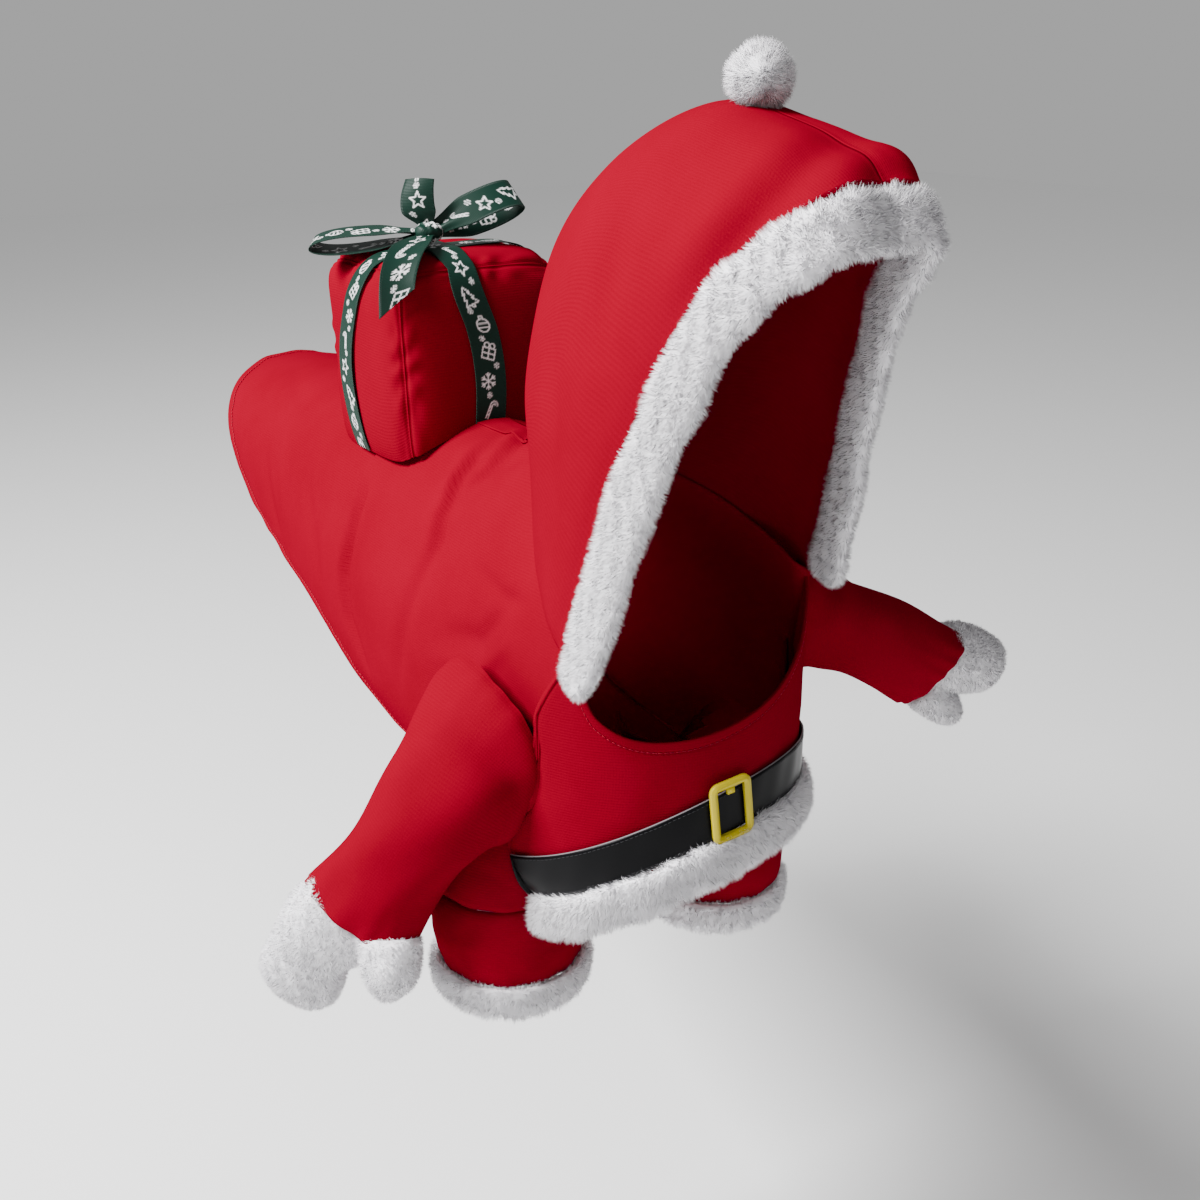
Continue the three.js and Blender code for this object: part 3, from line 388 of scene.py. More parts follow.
class Finish:
    """A material with a few plain ways to add nodes to it."""

    def __init__(self, name):
        self.material = bpy.data.materials.new(name)
        self.material.use_nodes = True
        self.tree = self.material.node_tree
        self.shader = self.tree.nodes["Principled BSDF"]

    def node(self, kind, inputs=None, **settings):
        """Adds a node; an input's value is a plain value or another node's output."""
        made = self.tree.nodes.new(kind)
        for key, value in settings.items():
            setattr(made, key, value)
        for key, value in (inputs or {}).items():
            self.join(made.inputs[key], value)
        return made

    def join(self, socket, value):
        """Links an output to a socket, or sets the socket's own value."""
        if isinstance(value, bpy.types.NodeSocket):
            self.tree.links.new(value, socket)
        else:
            socket.default_value = value

    def maths(self, operation, *values):
        """The result of a Math node."""
        return self.node("ShaderNodeMath", dict(enumerate(values)), operation=operation).outputs[0]

    def noise(self, scale, detail, rough=0.5):
        """Noise over the piece's own coordinates."""
        where = self.node("ShaderNodeTexCoord").outputs["Object"]
        return self.node(
            "ShaderNodeTexNoise", {"Vector": where, "Scale": scale, "Detail": detail, "Roughness": rough}
        ).outputs["Fac"]

    def on_cloth(self):
        """The place on the cloth, as X and Y outputs in metres."""
        place = self.node("ShaderNodeUVMap", uv_map="cloth").outputs["UV"]
        return self.node("ShaderNodeSeparateXYZ", {"Vector": place}).outputs

    def blend(self, amount, first, second):
        """A colour between two."""
        made = self.node("ShaderNodeMix", data_type="RGBA")
        self.join(made.inputs["Factor"], amount)
        self.join(made.inputs["A"], first)
        self.join(made.inputs["B"], second)
        return made.outputs["Result"]

    def put(self, **sockets):
        """Sets or links the shader's sockets, with _ for a space in their names."""
        for key, value in sockets.items():
            self.join(self.shader.inputs[key.replace("_", " ")], value)

    def relief(self, height, strength, distance):
        """Raises a height pattern as fine bump."""
        bump = self.node("ShaderNodeBump", {"Height": height, "Strength": strength, "Distance": distance})
        self.join(self.shader.inputs["Normal"], bump.outputs["Normal"])


RIB = 0.0019  # from one row of the knit to the next, in metres


def knit_finish(name):
    """Brushed knit: rows of fine ribs along the cloth, loosened by noise, under a soft nap, with a little
    painted shade between the ribs.
    """
    f = Finish(name)
    place = f.on_cloth()
    wander = f.maths("MULTIPLY", f.noise(60.0, 2.0), 3.0)
    across = f.maths("ADD", f.maths("MULTIPLY", place["Y"], 2 * math.pi / RIB), wander)
    loops = f.maths("MULTIPLY", place["X"], 2 * math.pi / (RIB * 0.8))
    rows = f.maths("SINE", across)
    knots = f.maths("MULTIPLY", f.maths("SINE", loops), 0.35)
    nap = f.noise(1500.0, 2.0, 0.7)
    height = f.maths("ADD", f.maths("MULTIPLY", f.maths("ADD", rows, knots), 0.2), nap)
    worn = f.maths("ADD", f.maths("MULTIPLY", nap, 0.5), f.maths("MULTIPLY", f.noise(9.0, 4.0, 0.6), 0.5))
    # the colour is mottled at random, and a little lighter on the rib crests and darker between the ribs:
    # painted shade of the ribs
    ribbed = f.maths("ADD", worn, f.maths("MULTIPLY", rows, 0.045))
    f.put(
        Base_Color=f.blend(ribbed, (0.115, 0.0, 0.004, 1), (0.225, 0.0, 0.014, 1)),
        Roughness=0.9,
        Specular_IOR_Level=0.0,
    )
    f.relief(height, 0.35, 0.0006)
    return f.material


RED_KNIT = knit_finish("red knit")


def knit_panel(name, node, points, faces, place, gone=None):
    """A panel of the knit: a single surface with a wall inwards, whose places on the cloth are given
    in millimetres. Points that are marked as gone are left out."""
    points, place = points.reshape(-1, 3), place.reshape(-1, 2)
    if gone is not None:
        used, faces = drop(faces, gone)
        points, place = points[used], place[used]
    piece = write_mesh(name, points, faces, place)
    dress(piece, RED_KNIT, node, wall=CLOTH)


def settle(points, out, lift):
    """Moves points along their outward directions."""
    return points + out * np.asarray(lift)[..., None]


LEG_Y = -112  # middle of the leg sleeves
LEG_RINGS = dict(  # x of their middle and their radius, by height
    z=[-352, -327, -300, -266, -238, -212, -185],
    x=[89, 89, 89, 89, 84, 73, 58],
    r=[49, 50.5, 52, 53.5, 54, 54, 52],
)


LEG_LAP = 5  # how far a panel reaches into a leg sleeve


def in_leg(points):
    """Which points lie further inside a leg sleeve than a panel reaches."""
    x, y, z = np.moveaxis(points, -1, 0)
    middle, radius = columns(LEG_RINGS, "z", "xr", z)
    away = np.hypot(np.abs(x) - middle, y - LEG_Y)
    return (z <= -180) & (z >= -350) & (away < radius - LEG_LAP)


coat_u = np.linspace(-1, 1, 241)
coat_v = np.concatenate([np.linspace(-0.009, 0.94, 116), np.linspace(0.94, 1, 19)[1:]])  # closer at the hem
U, V = grid(coat_u, coat_v)
coat_points = folded_coat(U, V)
coat_out = outward(coat, U, V)
rear = coat_points[:, -1:, :]
from_edge = np.linalg.norm(coat_points - rear, axis=-1)
sides = np.where(U[..., None] > 0, coat_points[-1], coat_points[0])
from_side = np.linalg.norm(coat_points - sides, axis=-1)
from_neck = np.linalg.norm(coat_points - folded_coat(U, 0 * V), axis=-1)
from_stitches = from_edge - HEM_FOLD
hem_ridge = 1.3 * smooth(from_stitches, 2, 0) - 1.8 * bell(from_stitches, 1.3)
hem_ridge = hem_ridge + 0.5 * np.sin(U * 150 + 4 * np.sin(U * 31)) * bell(from_stitches, 6)
seam_dip = -1.1 * bell(from_side, SEAM_SOFT) - 1.2 * bell(from_neck, SEAM_SOFT)
ripple = 0.5 * np.sin(U * 61 + 3 * np.sin(U * 17)) * np.exp(-from_edge / 26)
creases = CREASE_DEPTH * crease_depth(coat_points, CREASES)
coat_points = settle(coat_points, coat_out, creases + hem_ridge * (U**2 < 0.96) + seam_dip + ripple)
# on the cloth: along the back, and round it from the spine
round_body = np.arctan2(coat_points[..., 0], coat_points[..., 2] - BODY_MIDDLE) * BODY_ROUND
knit_panel(
    "coat_cloth", "coat_back", coat_points, grid_faces(*U.shape),
    np.stack([coat_points[..., 1], round_body], -1), gone=in_leg(coat_points),
)


def line_at(points, distance, value):
    """The line on a grid of points where a distance, growing along each row, reaches a value."""
    k = np.clip(np.argmax(distance >= value, axis=1), 1, distance.shape[1] - 1)
    row = np.arange(len(points))
    before, after = distance[row, k - 1], distance[row, k]
    share = (value - before) / np.maximum(after - before, 1e-6)
    return mix(points[row, k - 1], points[row, k], share[:, None])


def stitches(name, line, out, thread, step=3.6, long=2.5, thick=0.55):
    """Short raised threads along a line: each a small block with its ends drawn down."""
    gone = np.concatenate([[0], np.cumsum(np.linalg.norm(np.diff(line, axis=0), axis=1))])
    at = np.arange(step, gone[-1] - step, step)

    def place(where, of):
        """Values along the line at the given distances from its start."""
        return np.stack([np.interp(where, gone, of[:, k]) for k in range(3)], -1)

    ends = np.stack([at - long / 2, at - long / 4, at + long / 4, at + long / 2], 1)
    centre, up = place(ends, line), unit(place(ends, out))
    way = unit(centre[:, -1:] - centre[:, :1])
    side = np.cross(up, way) * thick / 2
    rise = up * (thick * np.array([0.1, 0.9, 0.9, 0.1]))[:, None]
    ring = np.stack([centre - side, centre + rise, centre + side], 2)
    faces = grid_faces(4, 3, wrap=True)
    every = (faces[None] + 12 * np.arange(len(at))[:, None, None]).reshape(-1, 4)
    piece = write_mesh(name, ring, every)
    piece.data.materials.append(thread)
    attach(piece, "root")


def thread_finish(name, colour):
    """Sewing thread, a little shinier than the knit."""
    f = Finish(name)
    f.put(Base_Color=colour, Roughness=0.6, Specular_IOR_Level=0.3)
    return f.material


RED_THREAD = thread_finish("red thread", (0.30, 0.0, 0.016, 1))
back_rows = np.abs(coat_u) < 0.9
hem_line = line_at(coat_points[:, ::-1], from_edge[:, ::-1], HEM_FOLD)
hem_out = coat_out[:, -8]  # about under the stitches
stitches("coat_hem_stitches", (hem_line + hem_out * 0.5)[back_rows], hem_out[back_rows], RED_THREAD)

# ---------- chest panel ----------
# One panel of the same knit round the front of the chest, from a scooped and turned neckline to
# under the hem band; the side seams join it to the coat.
GAP = 0.3  # between two pieces at a seam
NECKLINE = dict(
    turn=[-53, -44, -37, -28, -14, 0, 14, 30, 43, 53],
    z=[-75, -93, -112, -124, -126, -120, -110, -93, -76, -58],
)
LINE_FOLD = 6.5  # width of the neckline's turned hem
LINE_TURN = 53  # how far round the neckline's table reaches, in degrees
FOOT_TURN = 68  # and how far the foot of the panel does
BELT_FRONT = -177  # height of the belt's middle at the front
BELT_BEND = 0.003  # how it sags towards the sides
BELT_SLANT = 0.2  # and how it rises to the left
HEM_TOP = -16.5  # the plush hem's edges, from the belt's middle
HEM_BOTTOM = -48


def chest(turn, z):
    """A point of the chest by its turn from the front and its height: an ellipse seen from above,
    which takes the trunk's own width towards the sides."""
    a = np.abs(turn)
    y = CHEST_Y - CHEST_DEEP * np.cos(np.radians(turn)) + 0 * z
    ring = trunk(y, turn_at(y, z + 0 * y))[..., 0]
    x = mix(CHEST_HALF * np.sin(np.radians(a)), ring, smooth(a, 20, 50))
    return np.stack(np.broadcast_arrays(x * np.sign(turn), y, z), -1)


def belt_height(turn):
    """The height of the belt's middle: a slant to the left and a sag, both worked from x."""
    x = CHEST_HALF * np.sin(np.radians(turn))
    return BELT_FRONT + BELT_SLANT * x - BELT_BEND * x * x


def seam_turn(z):
    """The turn of the side seam at a height."""
    y = read(SIDE_SEAM, "z", "y", z) - GAP
    return np.degrees(np.arccos((CHEST_Y - y) / CHEST_DEEP))


def chest_foot(turn):
    """The height of the panel's lower edge, just inside the hem."""
    return belt_height(turn) + HEM_BOTTOM + 7


def chest_panel(u, v):
    """The chest panel: u from right to left, v from the neckline down."""
    z = mix(read(NECKLINE, "turn", "z", u * LINE_TURN), chest_foot(u * FOOT_TURN), v)
    return chest(u * seam_turn(z), z)


def panel_grid(surface, us, vs, side):
    """Points of a surface on a grid, and the directions off it."""
    u, v = grid(us, vs)
    return surface(u, v), facing(surface, u, v) * side, u, v


chest_v = np.concatenate([np.linspace(0, 0.1, 14), np.linspace(0.1, 1, 40)[1:]])  # closer at the neck
chest_points, chest_out, U, V = panel_grid(chest_panel, np.linspace(-1, 1, 121), chest_v, -1)
from_line = np.linalg.norm(chest_points - chest_points[:, :1, :], axis=-1)
line_hem = 0.7 * smooth(from_line, LINE_FOLD + 1, LINE_FOLD - 0.5) - 0.8 * bell(from_line - LINE_FOLD, 1.0)
side_dip = -1.1 * bell((1 - np.abs(U)) * 95, SEAM_SOFT)
drape = 0.8 * np.sin(U * 9 + 1.3) * np.sin(V * 3.1)
drape = drape + 0.5 * np.sin(U * 23 + V * 4) * np.exp(-((V - 0.5) ** 2) / 0.05)
above_belt = 1 - smooth(V, 0.45, 0.55)
chest_points = settle(chest_points, chest_out, line_hem + side_dip - 0.5 + 0.6 * drape * above_belt)
knit_panel(
    "chest_cloth", "chest_panel", chest_points, grid_faces(*U.shape, flip=True),
    np.stack([U * 110, chest_points[..., 2]], -1),
)
line = line_at(chest_points, from_line, LINE_FOLD + 0.1)
line_out = chest_out[:, 8]
stitches("neckline_stitches", line + line_out * 0.4, line_out, RED_THREAD)

# ---------- belly panel ----------
# A short panel under the chest that closes the coat from side to side behind the forelegs.
EDGE_BACKWARDS = {key: values[::-1] for key, values in EDGE.items()}  # the same from front to rear
BELLY_FRONT = -236  # y of its ends
BELLY_REAR = 40


def low_turn(y, side):
    """The turn of the belly panel's seams: the chest panel's foot in front, the coat's edge behind."""
    a = np.degrees(np.arccos(np.clip((CHEST_Y - y) / CHEST_DEEP, -1, 1)))
    front = turn_at(y, chest_foot(side * a) - 1)
    return mix(front, read(EDGE_BACKWARDS, "y", "turn", y), smooth(y, -175, -150)) + 0.25


def belly(u, v):
    """The belly panel: u from the front to the rear, v from left to right under the keel."""
    y = mix(BELLY_FRONT, BELLY_REAR, u)
    return trunk(y, mix(low_turn(y, 1), 360 - low_turn(y, -1), v))


belly_points, belly_out, U, V = panel_grid(belly, np.linspace(-0.01, 1, 66), np.linspace(-0.03, 1.03, 60), -1)
waves = 0.8 * np.sin(U * 21 + V * 5) * np.sin(np.clip(V, 0, 1) * np.pi)
belly_points = settle(belly_points, belly_out, waves - 1.8)
knit_panel(
    "belly_cloth", "belly_panel", belly_points, grid_faces(*U.shape, flip=True),
    belly_points[..., 1::-1], gone=in_leg(belly_points),
)

# ---------- leg sleeves ----------
# Short tubes for the forelegs: a knit sleeve that comes out of the side of the chest, and below
# its seam a band of the same knit that swells a little over the cuff.
SIDES = (("right", -1), ("left", 1))
LEG_SEAM = -266  # heights: the seam between sleeve and band
LEG_CUFF = -327  # the band's lower edge
LEG_FOOT = -350  # the cuff's lower edge
TRIM = 3.2  # how deep in the trunk's panels a piece ends that is sewn into them


def leg_point(side, z, t, extra=0.0):
    """A point round a leg sleeve: a circle of the table's middle and radius at each height."""
    middle, radius = columns(LEG_RINGS, "z", "xr", z)
    x = middle + (radius + extra) * np.cos(2 * np.pi * t)
    y = LEG_Y + (radius + extra) * np.sin(2 * np.pi * t)
    return np.stack(np.broadcast_arrays(side * x, y, z), -1)


TRUNK_SIZE = 105  # from the trunk's middle line to its panels, on the average


def trunk_depth(points):
    """About how deep points lie inside the trunk's panels, in millimetres."""
    x, y, z = np.moveaxis(points, -1, 0)
    top, mid, keel, square = columns(TRUNK, "y", TRUNK_SECTION, y)
    wide = np.maximum(half_width(y), 1)
    rise = np.abs(z - mid) / np.where(z > mid, top - mid, mid - keel)
    return (1 - ((np.abs(x) / wide) ** square + rise**square) ** (1 / square)) * TRUNK_SIZE


def meeting(depths, steps):
    """For each column, the step at which a depth first falls under TRIM, read between steps and
    softened a little round the piece."""
    under = depths < TRIM
    k = np.clip(np.argmax(under, axis=0), 1, len(steps) - 1)
    column = np.arange(depths.shape[1])
    before, after = depths[k - 1, column], depths[k, column]
    share = np.clip((before - TRIM) / np.where(np.abs(before - after) < 1e-6, 1, before - after), 0, 1)
    found = np.where(under[0], steps[0], mix(steps[k - 1], steps[k], share))
    for _ in range(3):
        found = (np.roll(found, 1) + 2 * found + np.roll(found, -1)) / 4
    return found


for name, side in SIDES:
    around = shares(96)
    heights = np.linspace(-186, -262, 120)
    tops = meeting(trunk_depth(leg_point(side, heights[:, None], around)), heights)
    for part, low, high, rows, swell, drawn in (
        ("sleeve", LEG_SEAM, tops, 30, 1.0, 2.0),
        ("band", LEG_CUFF, LEG_SEAM - GAP, 24, 2.2, 1.0),
    ):
        up, t = grid(np.linspace(0, 1, rows), around)
        z = mix(low, high, up)
        from_seam = np.minimum(z - low, high - z)
        pucker = 0.6 * np.sin(t * 2 * np.pi * 13 + 2 * np.sin(z / 9)) * np.exp(-from_seam / 14)
        folds = 1.2 * np.sin(t * 2 * np.pi * 3 + z / 16) * np.sin(np.clip(from_seam / 30, 0, 1) * np.pi)
        dip = np.where(z - low < high - z, drawn, 2.0) * bell(from_seam, SEAM_SOFT)
        points = leg_point(side, z, t, swell * np.sin(np.pi * up) + pucker + folds - dip - 0.4)
        knit_panel(
            f"leg_{part}_cloth_{name}", f"leg_{part}_{name}", points,
            grid_faces(rows, 96, wrap=True, flip=side > 0), np.stack([t * 330, z], -1),
        )

# ---------- plush trim ----------
# White plush: each trim is a soft matte body with thousands of short fine strands on it, in tufts.


def plush_finish(name, root, tip):
    """Fine pile: darker between the strands and at their roots as painted shade, and white at each strand's
    tip.
    """
    f = Finish(name)
    # the attribute tip carries painted shade: darker on the body and at the strands' roots, 1 at a strand's
    # tip
    root_shade = f.node("ShaderNodeAttribute", attribute_name="tip").outputs["Fac"]
    shade = f.maths("ADD", f.maths("MULTIPLY", f.noise(40.0, 3.0), 0.35), f.maths("MULTIPLY", root_shade, 0.8))
    f.put(
        Base_Color=f.blend(shade, root, tip),
        Roughness=1.0,
        Specular_IOR_Level=0.05,
        Sheen_Weight=0.25,
        Sheen_Roughness=0.5,
    )
    return f.material


# the first colour is the painted shade between the strands and at their roots, the second the plush's white
WHITE_PLUSH = plush_finish("white plush", (0.86, 0.84, 0.87, 1), (0.99, 0.97, 1.0, 1))


def triangles_of(faces):
    """Faces as triangles."""
    return faces if faces.shape[1] == 3 else np.concatenate([faces[:, [0, 1, 2]], faces[:, [0, 2, 3]]])


def corners(points, faces):
    """The three corners of every triangle."""
    return np.moveaxis(points[triangles_of(faces)], 1, 0)


def point_normals(points, faces):
    """The mean direction off the faces round each point."""
    a, b, c = corners(points, faces)
    off = np.cross(b - a, c - a)
    total = np.zeros_like(points)
    for corner in triangles_of(faces).T:
        np.add.at(total, corner, off)
    return unit(total)


def tuft(points, size, phase):
    """A sideways push towards the middle of tufts of about the given size, on a wandering grid."""
    wander = np.sin(points[:, [1, 2, 0]] / (size * 1.7) + phase)
    wander = wander + 0.6 * np.sin(points[:, [2, 0, 1]] / (size * 0.9))
    return -np.sin(2 * np.pi * points / size + 2.2 * wander)


ROOT_SHADE_TONE = 0.75  # painted shade: how light the bodies and the strands' roots are, where 1 is a strand's tip
STRAND_WIDE = 0.48  # at the root


def pile(points, faces, count, length, seed, lean, loose=0.35):
    """Strands over a body: each a narrow triangle from its root to its tip, leaning into its tuft.
    Roots are spread evenly by area. Returns points, triangles, tone values that are darker at the roots as
    painted shade, and directions."""
    rng = np.random.default_rng(seed)
    tri = triangles_of(faces)
    a, b, c = corners(points, faces)
    area = np.linalg.norm(np.cross(b - a, c - a), axis=1)
    pick = rng.choice(len(tri), count, p=area / area.sum())
    p, q = np.sqrt(rng.random(count)), rng.random(count)
    weight = np.stack([1 - p, p * (1 - q), p * q], 1)[..., None]
    root = (points[tri[pick]] * weight).sum(1)
    out = unit((point_normals(points, faces)[tri[pick]] * weight).sum(1))
    tufts = tuft(root, 11.0, 0.7) * 0.28 + tuft(root, 4.5, 2.1) * 0.2
    push = tufts + rng.normal(0, loose, (count, 3)) * 0.7 + np.array(lean)
    way = unit(out + push - out * (push * out).sum(1, keepdims=True))
    reach = length * rng.uniform(0.55, 1.05, (count, 1)) * (1 + 0.12 * tuft(root, 15.0, 1.0)[:, :1])
    side = unit(np.cross(way, out + rng.normal(0, 0.3, (count, 3)))) * STRAND_WIDE / 2
    blades = np.stack([root - side, root + side, root + way * reach], 1).reshape(-1, 3)
    shape = np.arange(count * 3).reshape(-1, 3)
    # painted shade: the strands' roots take the body's darker tone
    shade_tones = np.tile([ROOT_SHADE_TONE, ROOT_SHADE_TONE, 1.0], count)
    soft = np.repeat(out + 0.22 * way, 3, axis=0) + rng.normal(0, 0.10, (count * 3, 3))
    return blades, shape, shade_tones, unit(soft)


def volume_of(points, faces):
    """The signed volume of a closed body: below 0 where its faces point inwards."""
    a, b, c = corners(points - points[0], faces)
    return (a * np.cross(b, c)).sum() / 6


def plush(name, node, points, faces, count, length, seed, fill, **more):
    """A trim: its body and its strands as one piece, whose shading follows the body's. fill, how full
    it is stuffed, is not used."""
    points = points.reshape(-1, 3)
    if volume_of(points, faces) < 0:
        faces = faces[:, ::-1]
    blades, shape, shade_tones, soft = pile(points, faces, count, length, seed, **more)
    body = triangles_of(faces)
    # the body takes the darker tone of the painted shade between the strands
    piece = write_mesh(
        name, np.concatenate([points, blades]), np.concatenate([body, shape + len(points)]),
        tip=np.concatenate([np.full(len(points), ROOT_SHADE_TONE), shade_tones]),
    )
    piece.data.normals_split_custom_set_from_vertices(np.concatenate([point_normals(points, body), soft]))
    dress(piece, WHITE_PLUSH, node)


def round_ends(u, reach):
    """From 0 at both ends of u (0 to 1) to 1, along a quarter circle of the given reach."""
    near = np.clip(np.minimum(u, 1 - u) / reach, 0, 1)
    return np.sqrt(np.maximum(0, 1 - (1 - near) ** 2))


# ---------- plush hem ----------
# A wavy plush band below the belt, standing a little off the chest and out of the way of the legs.
LIE = 0.8  # how far a trim lies off the panel below it
HEM_THICK = 6.0
HEM_ENDS = (-82, 77)  # turns of its right and left ends, in degrees from the front


def over_legs(points):
    """Moves points sideways that lie inside a leg sleeve, on to its surface."""
    x, y, z = np.moveaxis(points, -1, 0)
    side = np.where(x < 0, -1, 1)
    middle, radius = columns(LEG_RINGS, "z", "xr", z)
    run_x, run_y = np.abs(x) - middle, y - LEG_Y
    away, far = np.hypot(run_x, run_y), radius + 0.6
    push = np.where((z > -205) | (away >= far), 0, (far - away) / np.maximum(away, 1e-6))
    return np.stack([x + side * run_x * push, y + run_y * push, z], -1)


def hem_surface(u, v):
    """The face that the hem lies on: u from right to left, v from its top edge down."""
    turn = mix(*HEM_ENDS, u)
    end = smooth(np.abs(turn), 60, 77)
    point = chest(turn, belt_height(turn) + HEM_TOP)
    z = belt_height(turn) + mix(HEM_TOP, HEM_BOTTOM + 10 * end, v)
    return over_legs(np.stack([point[..., 0], point[..., 1], z], -1))


def hem_ring(u, turn):
    """A point of the hem's body: u along it, and a turn round a flat back and a swollen, wavy
    front, both drawn in at the ends."""
    draw = round_ends(u, 0.03)
    v = 0.5 - 0.5 * power(np.cos(turn), 0.75) * mix(0.55, 0.94, draw)
    v = np.clip(v + np.sin(u * 41) * 0.03, 0.01, 0.99)
    front = HEM_THICK * power(np.maximum(np.sin(turn), 0), 0.8) * mix(0.1, 1, draw)
    lift = LIE + front * (1 + 0.12 * np.sin(u * 57 + 1))
    return settle(hem_surface(u, v), -facing(hem_surface, u, v), lift)


plush(
    "hem_plush", "hem_band", hem_ring(*grid(np.linspace(0.003, 0.997, 121), circle(20))),
    grid_faces(121, 20, wrap=True), 60000, 6.5, 11, 0.4, lean=(0, 0, -0.5),
)

# ---------- belt and buckle ----------
# A flat glossy black belt stitched over the chest, and a rounded yellow frame lying on it with a
# moulded ridge and a small tab behind its top bar.
BELT_WIDE = 30
BELT_THICK = 1.6
BELT_END = 72  # turn of its ends, in degrees from the front


def belt_surface(u, v):
    """The face the belt lies on: u from right to left, v from its top edge down."""
    turn = mix(-BELT_END, BELT_END, u)
    return over_legs(chest(turn, belt_height(turn) + BELT_WIDE * (0.5 - v)))


def gloss(name, colour, rough, shine, coat=0.0):
    """A smooth moulded or coated surface."""
    f = Finish(name)
    f.put(Base_Color=colour, Roughness=rough, Specular_IOR_Level=shine, Coat_Weight=coat, Coat_Roughness=0.15)
    return f.material


BLACK_BELT = gloss("black belt", (0.0015, 0.0015, 0.002, 1), 0.34, 0.08)
BLACK_THREAD = thread_finish("black thread", (0.01, 0.01, 0.012, 1))
BELT_EDGE = gloss("belt edge", (0.14, 0.12, 0.13, 1), 0.5, 0.35)
YELLOW = gloss("yellow plastic", (0.50, 0.40, 0.002, 1), 0.35, 0.2, coat=0.1)
belt_points, belt_out, U, V = panel_grid(belt_surface, np.linspace(0, 1, 181), np.linspace(0, 1, 15), -1)
buckled = 0.9 * np.sin(U * 38) * np.sin(np.pi * V) + 0.5 * np.sin(U * 83 + 2 * V)
belt_points = settle(belt_points, belt_out, LIE + BELT_THICK + 0.3 + 0.3 * buckled)
belt_piece = write_mesh("belt_strap", belt_points, grid_faces(*U.shape, flip=True))
dress(belt_piece, BLACK_BELT, "belt", wall=BELT_THICK)
u, turn = grid(np.linspace(0, 1, 181), circle(6))
lip = settle(belt_surface(u, 0 * u), -facing(belt_surface, u, 0 * u + 0.002), LIE + 1 + 0.6 * np.cos(turn))
lip[..., 2] += 0.2 + 0.45 * np.sin(turn)
lip_piece = write_mesh("belt_lip", lip, grid_faces(181, 6, wrap=True))
dress(lip_piece, BELT_EDGE, "belt")
for edge, row in (("upper", 1), ("lower", 13)):
    stitches(
        f"belt_stitches_{edge}", belt_points[:, row], belt_out[:, row], BLACK_THREAD,
        step=3.2, long=2.2, thick=0.4,
    )

BUCKLE_TURN = -3.5  # where it sits, in degrees from the front
BUCKLE_TILT = 0.12  # how far it leans, in radians
BUCKLE_UP = 2.0  # and how far above the belt's middle
BUCKLE_WIDE = 30
BUCKLE_TALL = 43
BUCKLE_BAR = 5.2  # width of its bars
BUCKLE_CORNER = 3.4  # roundness of their middle line


def rounded_path(wide, tall, corner, count):
    """Points round a rounded rectangle's outline, and the directions out of it."""
    way = np.stack([np.cos(circle(count)), np.sin(circle(count))], -1)
    core = (np.array([wide, tall]) / 2 - corner) * np.clip(way * 3, -1, 1)
    out = unit(way * (np.abs(way) > 0.34) + way * 0.02)
    return core + out * corner, out


def on_belt(points):
    """Stands points (across, off the belt, up) on the belt at the middle of the chest."""
    x, y, z = np.moveaxis(points, -1, 0)
    c, s = math.cos(BUCKLE_TILT), math.sin(BUCKLE_TILT)
    x, z = x * c - z * s, x * s + z * c
    a = math.radians(BUCKLE_TURN)
    seat = chest(np.array(float(BUCKLE_TURN)), belt_height(BUCKLE_TURN))
    run = np.stack([x * math.cos(a) + y * math.sin(a), x * math.sin(a) - y * math.cos(a), z], -1)
    return seat + np.array([0, -LIE - BELT_THICK - 0.6, BUCKLE_UP]) + run


line, out = rounded_path(BUCKLE_WIDE - BUCKLE_BAR, BUCKLE_TALL - BUCKLE_BAR, BUCKLE_CORNER, 240)
section = np.array([  # a bar's outline: across it, and off the belt
    (-2.6, 0.0), (-2.6, 1.9), (-2.1, 2.6), (-1.2, 2.8), (-0.6, 3.5),
    (0.6, 3.5), (1.2, 2.8), (2.1, 2.6), (2.6, 1.9), (2.6, 0.0),
])
flat = line[:, None] + out[:, None] * section[:, :1]
bars = on_belt(np.stack(np.broadcast_arrays(flat[..., 0], section[:, 1], flat[..., 1]), -1)).reshape(-1, 3)
bar_faces = grid_faces(241, 10, wrap=True, flip=True) % len(bars)
tab_foot = ((-2.6, 0.0), (2.6, 0.0), (2.6, 2.2), (-2.6, 2.2))
tab = np.array([(x, y, z) for z in (12.0, 16.8) for x, y in tab_foot])
tab_faces = np.array([(0, 1, 2, 3), (4, 7, 6, 5), (0, 4, 5, 1), (1, 5, 6, 2), (2, 6, 7, 3), (3, 7, 4, 0)])
buckle_piece = write_mesh(
    "buckle_frame", np.concatenate([bars, on_belt(tab)]), np.concatenate([bar_faces, tab_faces + len(bars)])
)
dress(buckle_piece, YELLOW, "buckle")

# ---------- leg cuffs ----------
# A plush ring at the foot of each leg sleeve.
for name, side in SIDES:
    t, a = grid(shares(90), circle(14))
    z = mix(LEG_FOOT, LEG_CUFF - GAP, 0.5 - 0.5 * power(np.cos(a), 0.8))
    out = np.where(np.sin(a) > 0, 1.0 + 3.5 * power(np.sin(a), 0.8), -2.0)
    points = leg_point(side, z, t, out + 0.5 * np.sin(t * 2 * np.pi * 9))
    faces = grid_faces(91, 14, wrap=True, flip=side > 0) % t.size
    plush(
        f"cuff_plush_{name}", f"leg_cuff_{name}", points, faces, 30000, 5.5, 21 + side, 0.4,
        lean=(0, 0, -0.35),
    )

# ---------- hood ----------
# Two halves of the same knit, joined by a seam over the middle, open at the face and the neck.
# Each is a row of arches along the ridge, eased forwards into its front edge.

